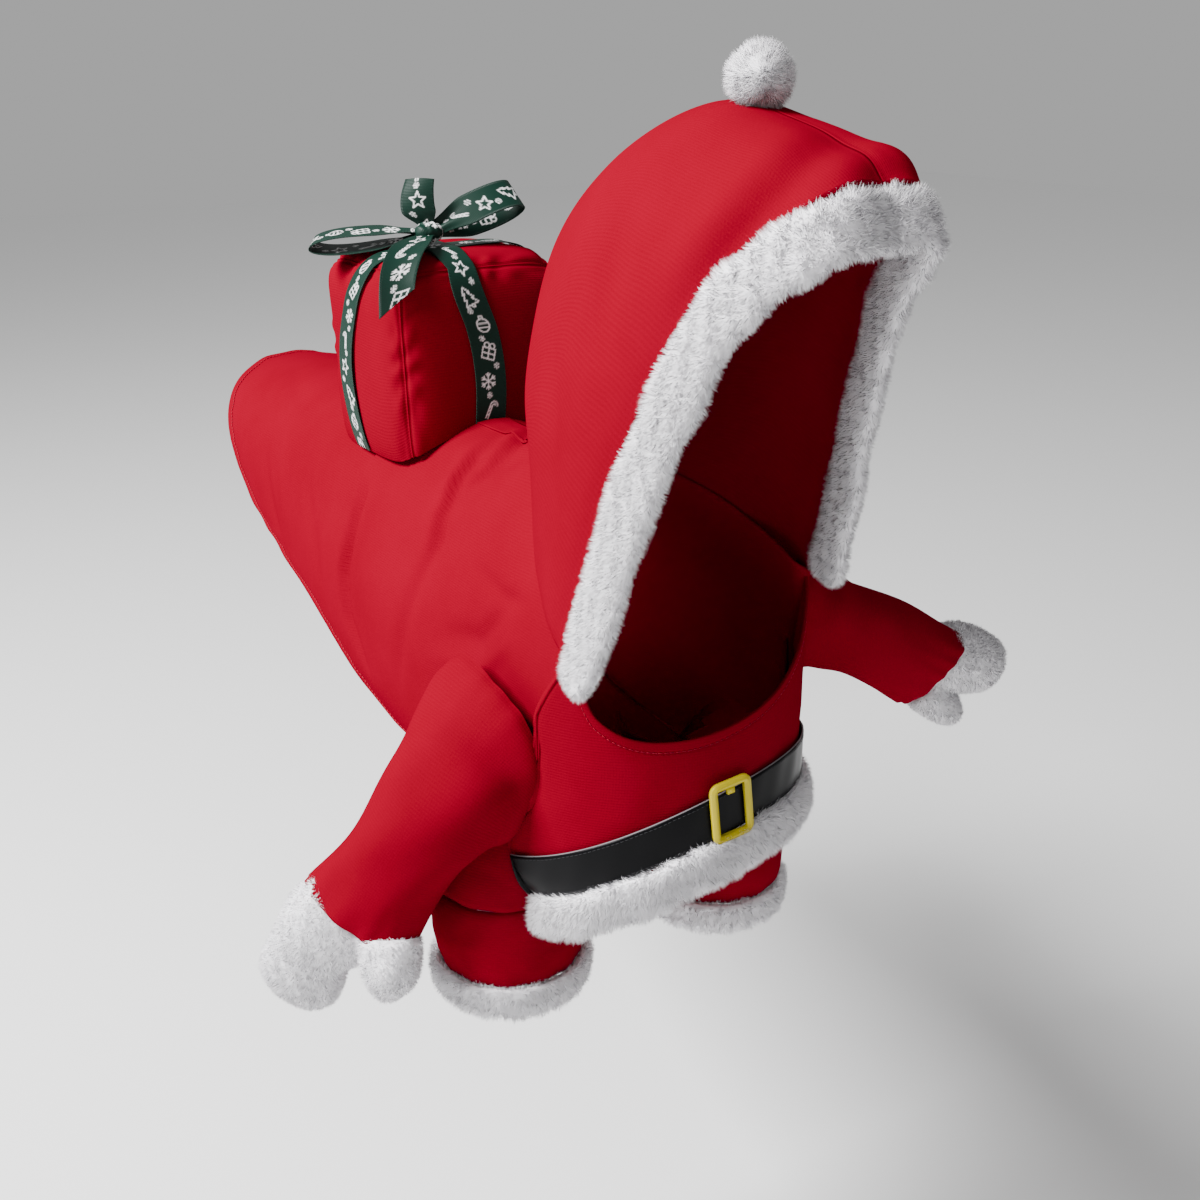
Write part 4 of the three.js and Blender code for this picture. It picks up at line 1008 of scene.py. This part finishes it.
# the front edge of the right half, from the ridge, v 0, to the neck, v 1
HOOD_FRONT = dict(
    v=[0, 0.12, 0.23, 0.36, 0.5, 0.62, 0.75, 0.88, 1],
    x=[0, 24, 42, 58, 70, 78, 84, 89, 92],
    y=[-331, -334, -328, -306, -278, -255, -230, -210, -194],
    z=[197, 197, 190, 172, 139, 93, 38, -24, -77],
)
# arches of the hood from the front, u 0, to the nape, u 1: the ridge's y and z, the place on the neck
# seam, and the arch's half width, swelling and squareness
HOOD = dict(
    u=[0, 0.15, 0.3, 0.45, 0.6, 0.75, 0.88, 1],
    y=[-334, -308, -264, -215, -152, -103, -74, -58],
    z=[198, 213, 225, 231, 209, 166, 98, 13.5],
    seam=[1, 0.94, 0.86, 0.76, 0.64, 0.5, 0.3, 0],
    roof=[44, 54, 64, 72, 73, 64, 40, 0],
    swell=[0, 2, 4, 6, 8, 11, 12, 0],
    square=[2.6, 2.5, 2.3, 2.2, 2.1, 2, 2, 2],
)
LEFT_TUCK = 17  # how much narrower the left half of the hood's front edge is
HOOD_FOLDS = [  # half width, height, points
    (13, -4.6, [(-12, -312, 210), (-27, -313, 207), (-44, -314, 197), (-56, -304, 179), (-65, -290, 159),
                (-71, -276, 136)]),
    (14, 3.4, [(-8, -290, 219), (-17, -292, 217), (-42, -298, 205), (-58, -286, 184), (-68, -272, 160)]),
    (12, 4.0, [(10, -316, 208), (-13, -324, 203), (-33, -330, 195)]),
    (14, 4.5, [(2, -318, 208), (20, -318, 204), (40, -304, 196)]),
    (15, -3.0, [(-50, -212, 200), (-60, -212, 180), (-68, -212, 158), (-76, -214, 125), (-84, -220, 90)]),
    (16, 2.2, [(-40, -170, 190), (-58, -176, 160), (-70, -182, 120), (-82, -190, 70)]),
    (14, -2.2, [(-60, -150, 120), (-72, -160, 80), (-82, -172, 30), (-88, -182, -20)]),
]


def arch(u, v):
    """A point of an arch of the hood, from its ridge (v 0) down to the neck seam (v 1)."""
    seam, roof, swell, square, y, z = columns(HOOD, "u", ("seam", "roof", "swell", "square", "y", "z"), u)
    seam = np.clip(seam, 0, 1)
    foot = neck_seam(seam, -1) * np.array([-1, 1, 1]) + np.array([0, 0, GAP])
    turn = np.radians(90 * v)
    down = 1 - power(np.cos(turn), 2 / square)
    x = roof * power(np.sin(turn), 2 / square) + (foot[..., 0] - roof) * down + swell * np.sin(2 * turn)
    return np.stack([x, mix(y, foot[..., 1], down), mix(z, foot[..., 2], down)], -1)


def hood(u, v, side):
    """One half of the hood: u from the plush band to the nape, v from the ridge to the neck."""
    u, v = np.broadcast_arrays(u, v)
    left = np.asarray(side) > 0
    front = np.stack(columns(HOOD_FRONT, "v", "xyz", v), -1)
    front[..., 0] -= np.where(left, LEFT_TUCK * np.sin(np.pi * np.clip(v / 0.8, 0, 1)), 0)
    fade = np.maximum(1 - smooth(u, 0, 0.75), 0) ** 1.5
    point = arch(u, v) + (front - arch(0 * u, v)) * fade[..., None]
    lift = np.where(left, SHOULDER_LIFT * read(HOOD, "u", "seam", u) ** 2 * v * v, 0)
    return np.stack([side * (point[..., 0] + GAP / 2), point[..., 1], point[..., 2] + lift], -1)


for name, side in SIDES:
    half = lambda u, v: hood(u, v, side)
    points, out, U, V = panel_grid(half, np.linspace(0, 0.995, 101), np.linspace(0, 1.006, 91), -side)
    ridge = np.linalg.norm(points - points[:, :1], axis=-1)
    foot = np.linalg.norm(points - points[:, -1:], axis=-1)
    seam = 0.2 * bell(ridge, 2.0) - 0.25 * bell(ridge - 3.4, 2.2)
    seam = seam - 1.0 * bell(foot, 4)
    slack = 1.8 * np.sin(U * 7.5 + V * 9.5) * np.sin(np.pi * V) * smooth(U, 0.05, 0.3)
    low_down = smooth(V, 0.3, 0.7) * smooth(U, 0.05, 0.2) * (1 - V * 0.6)
    slack = slack + np.sin(U * 15 - V * 13 + side) * low_down
    points = settle(points, out, seam + slack * 0.7 + crease_depth(points, HOOD_FOLDS) - 0.4)
    knit_panel(
        f"hood_cloth_{name}", f"hood_{name}", points, grid_faces(*U.shape, flip=side < 0),
        np.stack([points[..., 1], V * 260], -1),
    )

# ---------- hood band and pompom ----------
# A wide plush band all round the face opening, and a small plush ball on top of the hood.
BAND_WIDE = 32
BAND_THICK = 12
BAND_BODY = -1.8  # how far its body stays inside that size, to leave room for the strands
BAND_ENDS = (-1.03, 0.985)  # the right end hangs a little below the hood's corner
OVERHANG = 300  # how far it would hang there for a whole unit of u, in millimetres


def caps(points):
    """Draws the last of a run of rings in to a point, so that the run is closed there."""
    end = points[-1:].mean(axis=1, keepdims=True) + 0 * points[-1:]
    return np.concatenate([points, end])


def band_point(u, s):
    """The band: u from the right end over the ridge to the left end, s round its section."""
    side = np.where(u < 0, -1, 1)
    a = np.minimum(np.abs(u), 1)
    at = hood(0 * a, a, side)
    back = unit(hood(0 * a + 0.02, a, side) - at)
    run = unit(hood(0 * a, np.minimum(a + 0.01, 1), side) - hood(0 * a, np.maximum(a - 0.01, 0), side))
    at = at + run * (OVERHANG * np.maximum(np.abs(u) - 1, 0))[..., None]
    ahead = unit(-back + run * (back * run).sum(-1, keepdims=True))
    ahead = ahead - np.array([0, 0, 1.5]) * (1 - smooth(a, 0, 0.5))[..., None]
    ahead = unit(ahead - run * (ahead * run).sum(-1, keepdims=True))
    out = unit(np.cross(run, ahead))
    wrong = np.where(a < 0.2, out[..., 2] < 0, out[..., 0] * side < 0)
    out = np.where(wrong[..., None], -out, out)
    c, d = power(np.cos(2 * np.pi * s), 0.6), power(np.sin(2 * np.pi * s), 0.8)
    width = GAP + BAND_WIDE / 2 - (BAND_WIDE / 2 + BAND_BODY) * c
    return at + ahead * width[..., None] + out * ((BAND_THICK / 2 + BAND_BODY) * d + 1)[..., None]


U, S = grid(np.linspace(*BAND_ENDS, 201), shares(18))
band_points = band_point(U, S)
middle = band_points.mean(axis=1, keepdims=True)
draw = round_ends((U[:, :1] - BAND_ENDS[0]) / (BAND_ENDS[1] - BAND_ENDS[0]), 0.02)[..., None]
band_points = middle + (band_points - middle) * mix(0.35, 1, draw) * (1 + 0.06 * np.sin(U * 40))[..., None]
band_points = np.concatenate([middle[:1] + 0 * band_points[:1], caps(band_points)])
plush(
    "band_plush", "hood_band", band_points, grid_faces(203, 18, wrap=True), 112000, 5.0, 31, 0.4,
    lean=(0, 0, -0.3),
)

POMPOM = np.array([0, -240, 244])
POMPOM_ROUND = 13.0  # radius of its body


def ball(polar, around):
    """Directions all over a ball, by the turn from its top and the turn round it."""
    polar, turn = grid(polar, circle(around))
    return np.stack([np.sin(polar) * np.cos(turn), np.sin(polar) * np.sin(turn), np.cos(polar)], -1)


plush(
    "pompom_plush", "pompom", POMPOM + POMPOM_ROUND * ball(np.pi * (np.arange(24) + 0.5) / 24, 36),
    grid_faces(24, 36, wrap=True), 20000, 7.0, 41, 0.8, lean=(0, 0, 0),
)

# ---------- arms ----------
# Two lightly stuffed arms of the same knit, sewn to the coat's sides: they hang clear of the
# wearer's legs and end in plush mittens.

# each arm: how far it flares where it is sewn on, the strands of its mitten, the direction its height
# runs in, and rows of x, y, z, half height and half thickness
ARMS = {
    "right": dict(
        flare=11.0,
        strands=42000,
        flat=(-0.6, 0.75, 0.2),
        arm=[(-76, -122, -138, 44, 40), (-108, -122, -158, 45, 42), (-140, -124, -186, 41, 39),
             (-170, -110, -231, 37, 31), (-192, -94, -275, 44, 22)],
        fingers=[(-195.9, -89.3, -274.4, 38, 20), (-206, -74, -288.4, 34, 25), (-214, -56.8, -312.4, 29, 25),
                 (-220, -45, -343, 31, 22), (-224, -39, -356, 19, 13)],
        thumb=[(-182, -119, -283, 22, 17), (-185, -122, -304, 20, 19), (-188, -117, -322, 11, 11)],
    ),
    "left": dict(
        flare=7.0,
        strands=32000,
        flat=(0, 0.41, -0.91),
        arm=[(72, -158, -82, 38, 34), (102, -164, -93, 34, 31), (136, -174, -110, 32, 29),
             (174, -188, -131, 34, 26), (208, -203, -154, 37, 21)],
        fingers=[(208.6, -203.2, -149, 28, 19), (222, -209, -146, 27, 23), (236, -216, -150, 25, 22),
                 (248, -222, -152, 20, 18), (254, -225, -153, 13, 11)],
        thumb=[(209, -201, -174, 17, 14), (224, -207, -188, 13, 14), (231, -209, -196, 8, 9)],
    ),
}
PLACES = {"arm": [0, 0.2, 0.45, 0.75, 1], "fingers": [0, 0.25, 0.5, 0.85, 1], "thumb": [0, 0.6, 1]}
ARM_STEPS = 110  # about one a millimetre


def limb(form, part, t, s, grow):
    """A point round a part of a stuffed limb, t along it and s round its section, which is made
    larger by grow. The part's rows are x, y, z, half height and half thickness."""
    table = dict(zip(("x", "y", "z", "tall", "thick"), np.transpose(form[part])), t=PLACES[part])

    def middle(at):
        """The limb's middle line."""
        return np.stack(columns(table, "t", "xyz", at), -1)

    ahead = unit(middle(t + 0.1) - middle(t - 0.1))
    thick = unit(np.cross(ahead, np.array(form["flat"], float)))
    tall = np.cross(thick, ahead)
    c, d = power(np.cos(2 * np.pi * s), 0.9), power(np.sin(2 * np.pi * s), 0.9)
    high, deep = columns(table, "t", ("tall", "thick"), t)
    return middle(t) + tall * (c * (high + grow))[..., None] + thick * (d * (deep + grow))[..., None]


for name, side in SIDES:
    form = ARMS[name]
    T, S = grid(np.linspace(0, 1, 201), shares(96))
    root = meeting(trunk_depth(limb(form, "arm", T, S, form["flare"])), T[:, 0])
    D, S = grid(np.linspace(0, ARM_STEPS, ARM_STEPS + 1), shares(96))
    T = mix(root, 1, D / ARM_STEPS)
    plain = limb(form, "arm", T, S, form["flare"] * np.exp(-((D / 20) ** 1.3)))
    out = unit(plain - plain.mean(axis=1, keepdims=True))
    turn = 2 * np.pi * S
    creases = 2.0 * np.sin(T * 26 + 1.6 * np.sin(turn + 1)) * (0.5 + 0.5 * np.sin(turn * 2 + side))
    creases = creases * np.exp(-((T - 0.32) / 0.2) ** 2)
    soft = 1.3 * np.sin(turn * 3 + T * 7) * np.sin(np.pi * T) + 0.8 * np.sin(turn * 5 - T * 17)
    gathers = 0.9 * np.sin(turn * 13 + 1.5 * np.sin(turn * 3)) * np.exp(-(1 - T) / 0.07)
    sewn = -1.6 * bell(D, 2.5) + 1.2 * bell(D - 8, 6)
    puckers = 0.5 * np.sin(turn * 15 + 2 * np.sin(turn * 4)) * np.exp(-D / 12)
    points = caps(settle(plain, out, creases + soft * 0.8 + gathers + sewn + puckers - 1.0)).reshape(-1, 3)
    place = np.stack([turn * 38, T * 190], -1)
    faces = grid_faces(ARM_STEPS + 2, 96, wrap=True)
    if volume_of(points, faces) < 0:
        faces = faces[:, ::-1]
    piece = write_mesh(f"arm_cloth_{name}", points, faces, np.concatenate([place, place[-1:]]))
    dress(piece, RED_KNIT, f"arm_{name}")

# ---------- mittens ----------
# Plush mittens: fingers and thumb in one, softly stuffed, sewn to the ends of the arms.
VOXEL = 1.9  # fineness of a mitten's skin
FINGER_TRIM = -2.2  # how far a mitten's body stays inside its size, to leave room for the strands
WRIST_DEEP = 5  # how far it starts inside the arm


def merged(bodies):
    """One closed skin over several bodies of (points, faces) that run into each other."""
    points, faces = (np.concatenate(arrays) for arrays in zip(*bodies))
    rough = write_mesh("mitten", points, faces)
    skin = rough.modifiers.new("skin", "REMESH")
    skin.mode = "VOXEL"
    skin.voxel_size = VOXEL / 1000
    even = rough.modifiers.new("even", "SMOOTH")
    even.iterations = 4
    done = rough.evaluated_get(bpy.context.evaluated_depsgraph_get()).to_mesh()
    found = np.empty(len(done.vertices) * 3)
    done.vertices.foreach_get("co", found)
    done.calc_loop_triangles()
    triangles = np.empty(len(done.loop_triangles) * 3, dtype=np.int32)
    done.loop_triangles.foreach_get("vertices", triangles)
    bpy.data.objects.remove(rough)
    return found.reshape(-1, 3) * 1000, triangles.reshape(-1, 3)


for name, side in SIDES:
    bodies = []
    for part, rows in (("fingers", 40), ("thumb", 24)):
        T, S = grid(np.linspace(0, 1, rows), shares(48))
        rings = limb(ARMS[name], part, T, S, FINGER_TRIM)
        wrist, beyond = rings[:2].mean(axis=1, keepdims=True)
        inside = wrist + (rings[:1] - wrist) * 0.85 - WRIST_DEEP * unit(beyond - wrist)
        closed = np.concatenate([inside.mean(axis=1, keepdims=True) + 0 * inside, inside, rings])
        before = sum(len(points) for points, _ in bodies)
        bodies.append((caps(closed).reshape(-1, 3), grid_faces(rows + 3, 48, wrap=True) + before))
    points, faces = merged(bodies)
    plush(
        f"mitten_plush_{name}", f"mitten_{name}", points, faces, ARMS[name]["strands"], 3.8, 51 + side, 0.8,
        lean=(0, 0, -0.15), loose=0.45,
    )

# ---------- gift box ----------
# A padded cube of the same knit sewn over the back: five panels, with no base under it, and raised
# seams between them, crowned by the filling and dimpled beside the seams.
BOX = np.array([75.0, 69.0, 75.0])  # half its size
BOX_MIDDLE = np.array([2.0, 127.0, 45.0])
BOX_HALF = 72  # the same on the average, for distances over its faces
BOX_LEAN = 0.07
BOX_SQUARE = 5.2  # how square it is: 2 would be a ball
BOX_SADDLE = 20  # how far its lower corners reach down round the back
BOX_STEPS = 83
BOX_SPREAD = np.pi / 2 * 0.86  # the steps lie closer together towards the seams


def box_point(way):
    """The padded cube in a direction whose largest part is 1: a superellipsoid with crowned faces,
    leaning back a little and pressed down over the wearer's back."""
    swell = (np.abs(way) ** BOX_SQUARE).sum(-1, keepdims=True) ** (1 / BOX_SQUARE)
    x, y, z = np.moveaxis(BOX * way / swell, -1, 0)
    low = BOX_SADDLE * (x / BOX[0]) ** 2 * smooth(-z, 0, BOX[2])
    return BOX_MIDDLE + np.stack([x, y + BOX_LEAN * z, z - low], -1)


# the direction of a place on each side, for p and q from -1 to 1
BOX_SIDES = {
    "front": lambda p, q: (p, -1 + 0 * p, q),
    "back": lambda p, q: (-p, 1 + 0 * p, q),
    "left": lambda p, q: (1 + 0 * p, p, q),
    "right": lambda p, q: (-1 + 0 * p, -p, q),
    "top": lambda p, q: (p, q, 1 + 0 * p),
}
steps = np.sin(np.linspace(-1, 1, BOX_STEPS) * BOX_SPREAD) / np.sin(BOX_SPREAD)
box_points, box_faces, box_place = [], [], []
for k, (label, side) in enumerate(BOX_SIDES.items()):
    skin = lambda p, q: box_point(np.stack(side(p, q), -1))
    P, Q = grid(steps, steps)
    if label != "top":
        foot = meeting(trunk_depth(skin(P, Q)).T, steps)
        Q = mix(foot[:, None], 1, (Q + 1) / 2)
    plain = skin(P, Q)
    outer = np.maximum(np.abs(P), np.abs(Q) if label == "top" else Q)
    edge = (1 - outer) * BOX_HALF
    off_face = facing(skin, P * 0.995, Q * 0.995) * smooth(edge, 1, 6)[..., None]
    out = unit(unit(plain - BOX_MIDDLE) + 3 * off_face)
    ridge = 0.5 * bell(edge, 1.2) - 1.0 * bell(edge - 1.6, 2.6)
    run = np.where(np.abs(P) > np.abs(Q), Q, P) * BOX_HALF
    dimples = bell(edge - 9, 6) * 1.1 * np.sin(run * 0.23 + 2 * np.sin(run * 0.07) + k)
    fade = 1 - np.maximum(np.abs(P), np.abs(Q)) ** 4
    broad = 1.9 * np.sin(P * 2.3 + k) * np.sin(Q * 2.9 + 1.7 * k) * fade
    box_points.append(settle(plain, out, ridge + dimples + broad))
    box_faces.append(grid_faces(BOX_STEPS, BOX_STEPS) + k * BOX_STEPS**2)
    box_place.append(np.stack([P * 70, Q * 70 + k * 1000], -1))
box_piece = write_mesh("gift_box", np.array(box_points), np.concatenate(box_faces), np.array(box_place))
dress(box_piece, RED_KNIT, "box_front", "box_back", "box_left", "box_right", "box_top", "box_base")

# ---------- ribbons ----------
# Green satin ribbon with ribbed edges and a white print of small Christmas figures, over the box
# both ways and tied in a bow.
RIBBON_WIDE = 25.0
RIBBON_THICK = 0.6
RIBBON_LIE = 1.6  # how far its middle lies off the box
RIBBON_END = 128  # turn of its ends, in degrees from the box's top
PRINT_STEP = 21  # from one figure of the print to the next
# how far each ribbon runs to one side, by its turn over the box
DRIFT_CROSS = dict(turn=[-128, -105, -85, -62, -42, 0, 45, 128], by=[8, 22, 18, 0, -20, -18, -8, 0])
DRIFT_LENGTH = dict(turn=[-128, -100, -74, -50, -20, 0, 45, 128], by=[-5, -2, -6, -17, -16, -15, -6, 0])
KNOT = np.array([-16.0, 114.0, 132.0])
KNOT_SIZE = np.array([11.0, 9.0, 7.5])


def star_lines(points, far, near):
    """A star's outline with the given number of points."""
    turn = np.arange(2 * points + 1) * np.pi / points
    r = np.where(np.arange(2 * points + 1) % 2 == 0, far, near)
    return [list(zip(r * np.sin(turn), r * np.cos(turn)))]


def snowflake(size):
    """Six arms, each with a pair of short twigs."""
    lines = []
    for k in range(6):
        a = k * math.pi / 3
        c, s = math.cos(a), math.sin(a)
        lines.append([(0, 0), (size * c, size * s)])
        for turn in (a - 0.7, a + 0.7):
            stem = (0.55 * size * c, 0.55 * size * s)
            twig = (stem[0] + 0.4 * size * math.cos(turn), stem[1] + 0.4 * size * math.sin(turn))
            lines.append([stem, twig])
    return lines


def arc(x, y, r, start, end, count=10):
    """A run of points round a circle, with the angles in degrees."""
    turn = np.radians(np.linspace(start, end, count))
    return list(zip(x + r * np.cos(turn), y + r * np.sin(turn)))


# a parcel, a snowflake, a candy cane, a star, a tree and a bauble, as lines in millimetres across and
# along the ribbon
FIGURES = [
    [[(-5, -5), (5, -5), (5, 3), (-5, 3), (-5, -5)], [(0, -5), (0, 3)], [(-5, -1), (5, -1)],
     arc(-2.2, 5, 2, -60, 300), arc(2.2, 5, 2, -120, 240)],
    snowflake(6.0),
    [[(-2.5, -7), (-2.5, 3)] + arc(0.5, 3, 3, 180, 10), [(-0.6, -7), (-0.6, 3)] + arc(0.5, 3, 1.1, 180, 10),
     [(-2.5, -5), (-0.6, -3.6)], [(-2.5, -2), (-0.6, -0.6)], [(-2.5, 1), (-0.6, 2.2)]],
    star_lines(5, 6.2, 2.7),
    [[(0, 7), (-3.2, 2.6), (-1.4, 2.6), (-4.6, -1.6), (-2.2, -1.6), (-6, -6), (6, -6), (2.2, -1.6),
      (4.6, -1.6), (1.4, 2.6), (3.2, 2.6), (0, 7)], [(-1, -6), (-1, -8), (1, -8), (1, -6)]],
    [arc(0, -1, 5, 0, 360, 20), [(-1.3, 4), (-1.3, 5.8), (1.3, 5.8), (1.3, 4)], [(-4.9, 0.4), (4.9, 0.4)],
     [(-4.6, -2.6), (4.6, -2.6)]],
]


def to_lines(x, y, lines):
    """Distance of places from the nearest of some runs of straight lines."""
    best = np.full(x.shape, 99.0)
    for line in lines:
        for (ax, ay), (bx, by) in zip(line[:-1], line[1:]):
            dx, dy = bx - ax, by - ay
            t = np.clip(((x - ax) * dx + (y - ay) * dy) / max(dx**2 + dy**2, 1e-9), 0, 1)
            best = np.minimum(best, np.hypot(x - ax - t * dx, y - ay - t * dy))
    return best


def printed(across, along, first):
    """How much of the print covers a place of the ribbon: figures at even steps, each turned a
    little, with a small snowflake between two figures."""
    cover = np.zeros(across.shape)
    for k in range(math.floor(along.min() / PRINT_STEP) - 1, math.ceil(along.max() / PRINT_STEP) + 2):
        lean = 0.5 * math.sin(k * 2.4 + first)
        shift = 2.2 * math.sin(k * 1.9 + 1.0)
        for lines, x0, y0, pen in (
            (FIGURES[(k * 5 + first) % len(FIGURES)], shift, k * PRINT_STEP, 0.4),
            (snowflake(2.3), -shift * 2.6, (k + 0.5) * PRINT_STEP, 0.16),
        ):
            near = np.abs(along - y0) < 10
            x, y = across[near] - x0, along[near] - y0
            x, y = x * math.cos(lean) + y * math.sin(lean), y * math.cos(lean) - x * math.sin(lean)
            cover[near] = np.maximum(cover[near], 1 - smooth(to_lines(x, y, lines), pen - 0.2, pen + 0.3))
    return cover


def satin_finish(name):
    """Dark green satin with a white print and finely ribbed edges."""
    f = Finish(name)
    ink = f.node("ShaderNodeAttribute", attribute_name="print").outputs["Fac"]
    place = f.on_cloth()
    weave = f.maths("SINE", f.maths("MULTIPLY", place["Y"], 2 * math.pi / 0.0011))
    rim = f.maths("GREATER_THAN", f.maths("ABSOLUTE", place["X"]), 0.0108)
    ribs = f.maths("MULTIPLY", weave, f.maths("ADD", f.maths("MULTIPLY", rim, 0.9), 0.12))
    f.put(
        Base_Color=f.blend(ink, (0.001, 0.018, 0.011, 1), (0.80, 0.80, 0.80, 1)),
        Roughness=0.5,
        Specular_IOR_Level=0.2,
    )
    f.relief(ribs, 0.5, 0.0004)
    return f.material


GREEN_SATIN = satin_finish("green satin")


def ribbon(node, surface, us, first, side=1, lie=None):
    """A stretch of ribbon over a surface of (u, v), with its print worked out from the places
    along and across it in millimetres."""
    U, V = grid(us, np.linspace(0, 1, 33))
    points = surface(U, V)
    middle = points[:, 16]
    along = np.concatenate([[0], np.cumsum(np.linalg.norm(np.diff(middle, axis=0), axis=-1))])
    along = np.broadcast_to(along[:, None], U.shape)
    across = (V - 0.5) * RIBBON_WIDE
    if lie is not None:
        points = settle(points, facing(surface, U, V) * side, lie(U))
    cover = printed(across, along, first)
    used, faces = drop(grid_faces(*U.shape), trunk_depth(points) > TRIM)
    place = np.stack([across, along], -1).reshape(-1, 2)
    piece = write_mesh(
        node + "_satin", points.reshape(-1, 3)[used], faces, place[used], print=cover.ravel()[used]
    )
    dress(piece, GREEN_SATIN, node, wall=RIBBON_THICK, offset=0)


def ribbon_surface(turn, v, crosswise):
    """The ribbon's face on the box: turn goes from one side over the top to the other."""
    c, s = np.cos(np.radians(turn)), np.sin(np.radians(turn))
    m = np.maximum(np.abs(c), np.abs(s))
    table = DRIFT_CROSS if crosswise else DRIFT_LENGTH
    w = (RIBBON_WIDE * (v - 0.5) + read(table, "turn", "by", turn)) / BOX[0]
    return box_point(np.stack([s / m, w, c / m] if crosswise else [w, s / m, c / m], -1))


def turn_along(u):
    """The turn at a place along a ribbon."""
    return mix(-RIBBON_END, RIBBON_END, u)


def over_other(u):
    """How far the lengthwise ribbon lies off the box: it rises where it crosses the other."""
    return RIBBON_LIE + 1.4 * (1 - smooth(np.abs(turn_along(u) + 14), 16, 26))


for name, crosswise, first, side, lie in (
    ("ribbon_cross", True, 0, 1, lambda u: RIBBON_LIE + 0 * u),
    ("ribbon_length", False, 3, -1, over_other),
):
    surface = lambda u, v: ribbon_surface(turn_along(u), v, crosswise)
    ribbon(name, surface, np.linspace(0, 1, 461), first, side, lie)

# ---------- bow ----------
# A knot over the crossing, two loops and two tails cut on a slant.
TAILS = {  # how much the end slants, and rows of a point and the direction across the ribbon there
    "bow_tail_up": (0.2, [
        (-16, 116, 136, 0.84, -0.55, 0.1), (-22, 117, 147, 0.84, -0.55, 0.1),
        (-22, 118, 160, 0.8, -0.55, 0.25), (-18, 119, 174, 0.75, -0.5, 0.4),
    ]),
    "bow_tail_down": (0.3, [
        (-18, 111, 131, 0.8, -0.6, 0), (-33, 97, 130, 0.8, -0.6, 0), (-50, 82, 125, 0.82, -0.57, -0.05),
        (-62, 71, 112, 0.84, -0.5, -0.15), (-67, 66, 96, 0.84, -0.45, -0.25),
        (-69, 64, 78, 0.84, -0.45, -0.25),
    ]),
}
LOOPS = {  # the loop's tip, the direction across the ribbon and how far its strands stand apart
    "bow_loop_right": ((-88, 163, 123), (0.33, 0.92, 0.15), 8),
    "bow_loop_left": ((54, 106, 155), (-0.15, 0.7, 0.65), 12),
}


def line_through(rows, t):
    """A smooth line through rows of points, t from 0 at the first to 1 at the last."""
    table = dict(enumerate(np.transpose(rows)), t=np.linspace(0, 1, len(rows)))
    return np.stack(columns(table, "t", range(len(rows[0])), t), -1)


def tail_surface(rows, slant):
    """A tail from the knot out, gathered at the knot and cut on a slant."""

    def surface(u, v):
        """u runs out from the knot, v across the ribbon."""
        t = np.clip(u * (1 - slant * v), 0, 1)
        line = line_through(rows, t)
        gather = mix(0.45, 1, smooth(t, 0, 0.35))
        bow = 1.6 * np.sin(np.pi * np.clip(v, 0, 1)) * np.sin(np.pi * t)
        across = unit(line[..., 3:])
        ahead = line_through(rows, np.clip(t + 0.02, 0, 1))[..., :3] - line[..., :3]
        curl = unit(np.cross(across, ahead + 1e-6))
        return line[..., :3] + across * ((v - 0.5) * RIBBON_WIDE * gather)[..., None] + curl * bow[..., None]

    return surface


def loop_surface(tip, flat, height):
    """A loop: u goes out from the knot along one strand and back along the other."""
    reach = np.array(tip, float) - KNOT
    far = np.linalg.norm(reach)
    reach = reach / far
    across = np.array(flat, float)
    across = unit(across - reach * (reach @ across))
    up = np.cross(across, reach)

    def surface(u, v):
        """u from the knot to the tip and back, v across the ribbon."""
        turn = 2 * np.pi * u
        s = (1 - np.cos(turn)) / 2
        gather = mix(0.5, 1, smooth(s, 0, 0.4))
        pleat = 1.3 * np.cos(3 * np.pi * v) * (1 - smooth(s, 0, 0.45))
        rise = height * np.sin(turn) * mix(0.5, 1, s) + pleat
        return (
            KNOT + reach * mix(7, far, s)[..., None] + up * rise[..., None]
            + across * ((v - 0.5) * RIBBON_WIDE * gather)[..., None]
        )

    return surface


for name, (tip, flat, height) in LOOPS.items():
    ribbon(name, loop_surface(tip, flat, height), np.linspace(0.012, 0.988, 201), 2)
for name, (slant, rows) in TAILS.items():
    ribbon(name, tail_surface(rows, slant), np.linspace(0, 1, 101), 4)

knot = ball(np.linspace(0.02, np.pi - 0.02, 50), 80)
pleats = 1 + 0.07 * np.sin(knot[..., 0] * 13 + 3 * knot[..., 1]) * np.abs(knot[..., 2])
knot_piece = write_mesh(
    "bow_knot_satin", KNOT + knot * KNOT_SIZE * pleats[..., None], grid_faces(50, 80, wrap=True),
    knot[..., :2] * 9, print=printed(knot[..., 0] * 9, knot[..., 1] * 12 + 4, 1),
)
dress(knot_piece, GREEN_SATIN, "bow_knot")
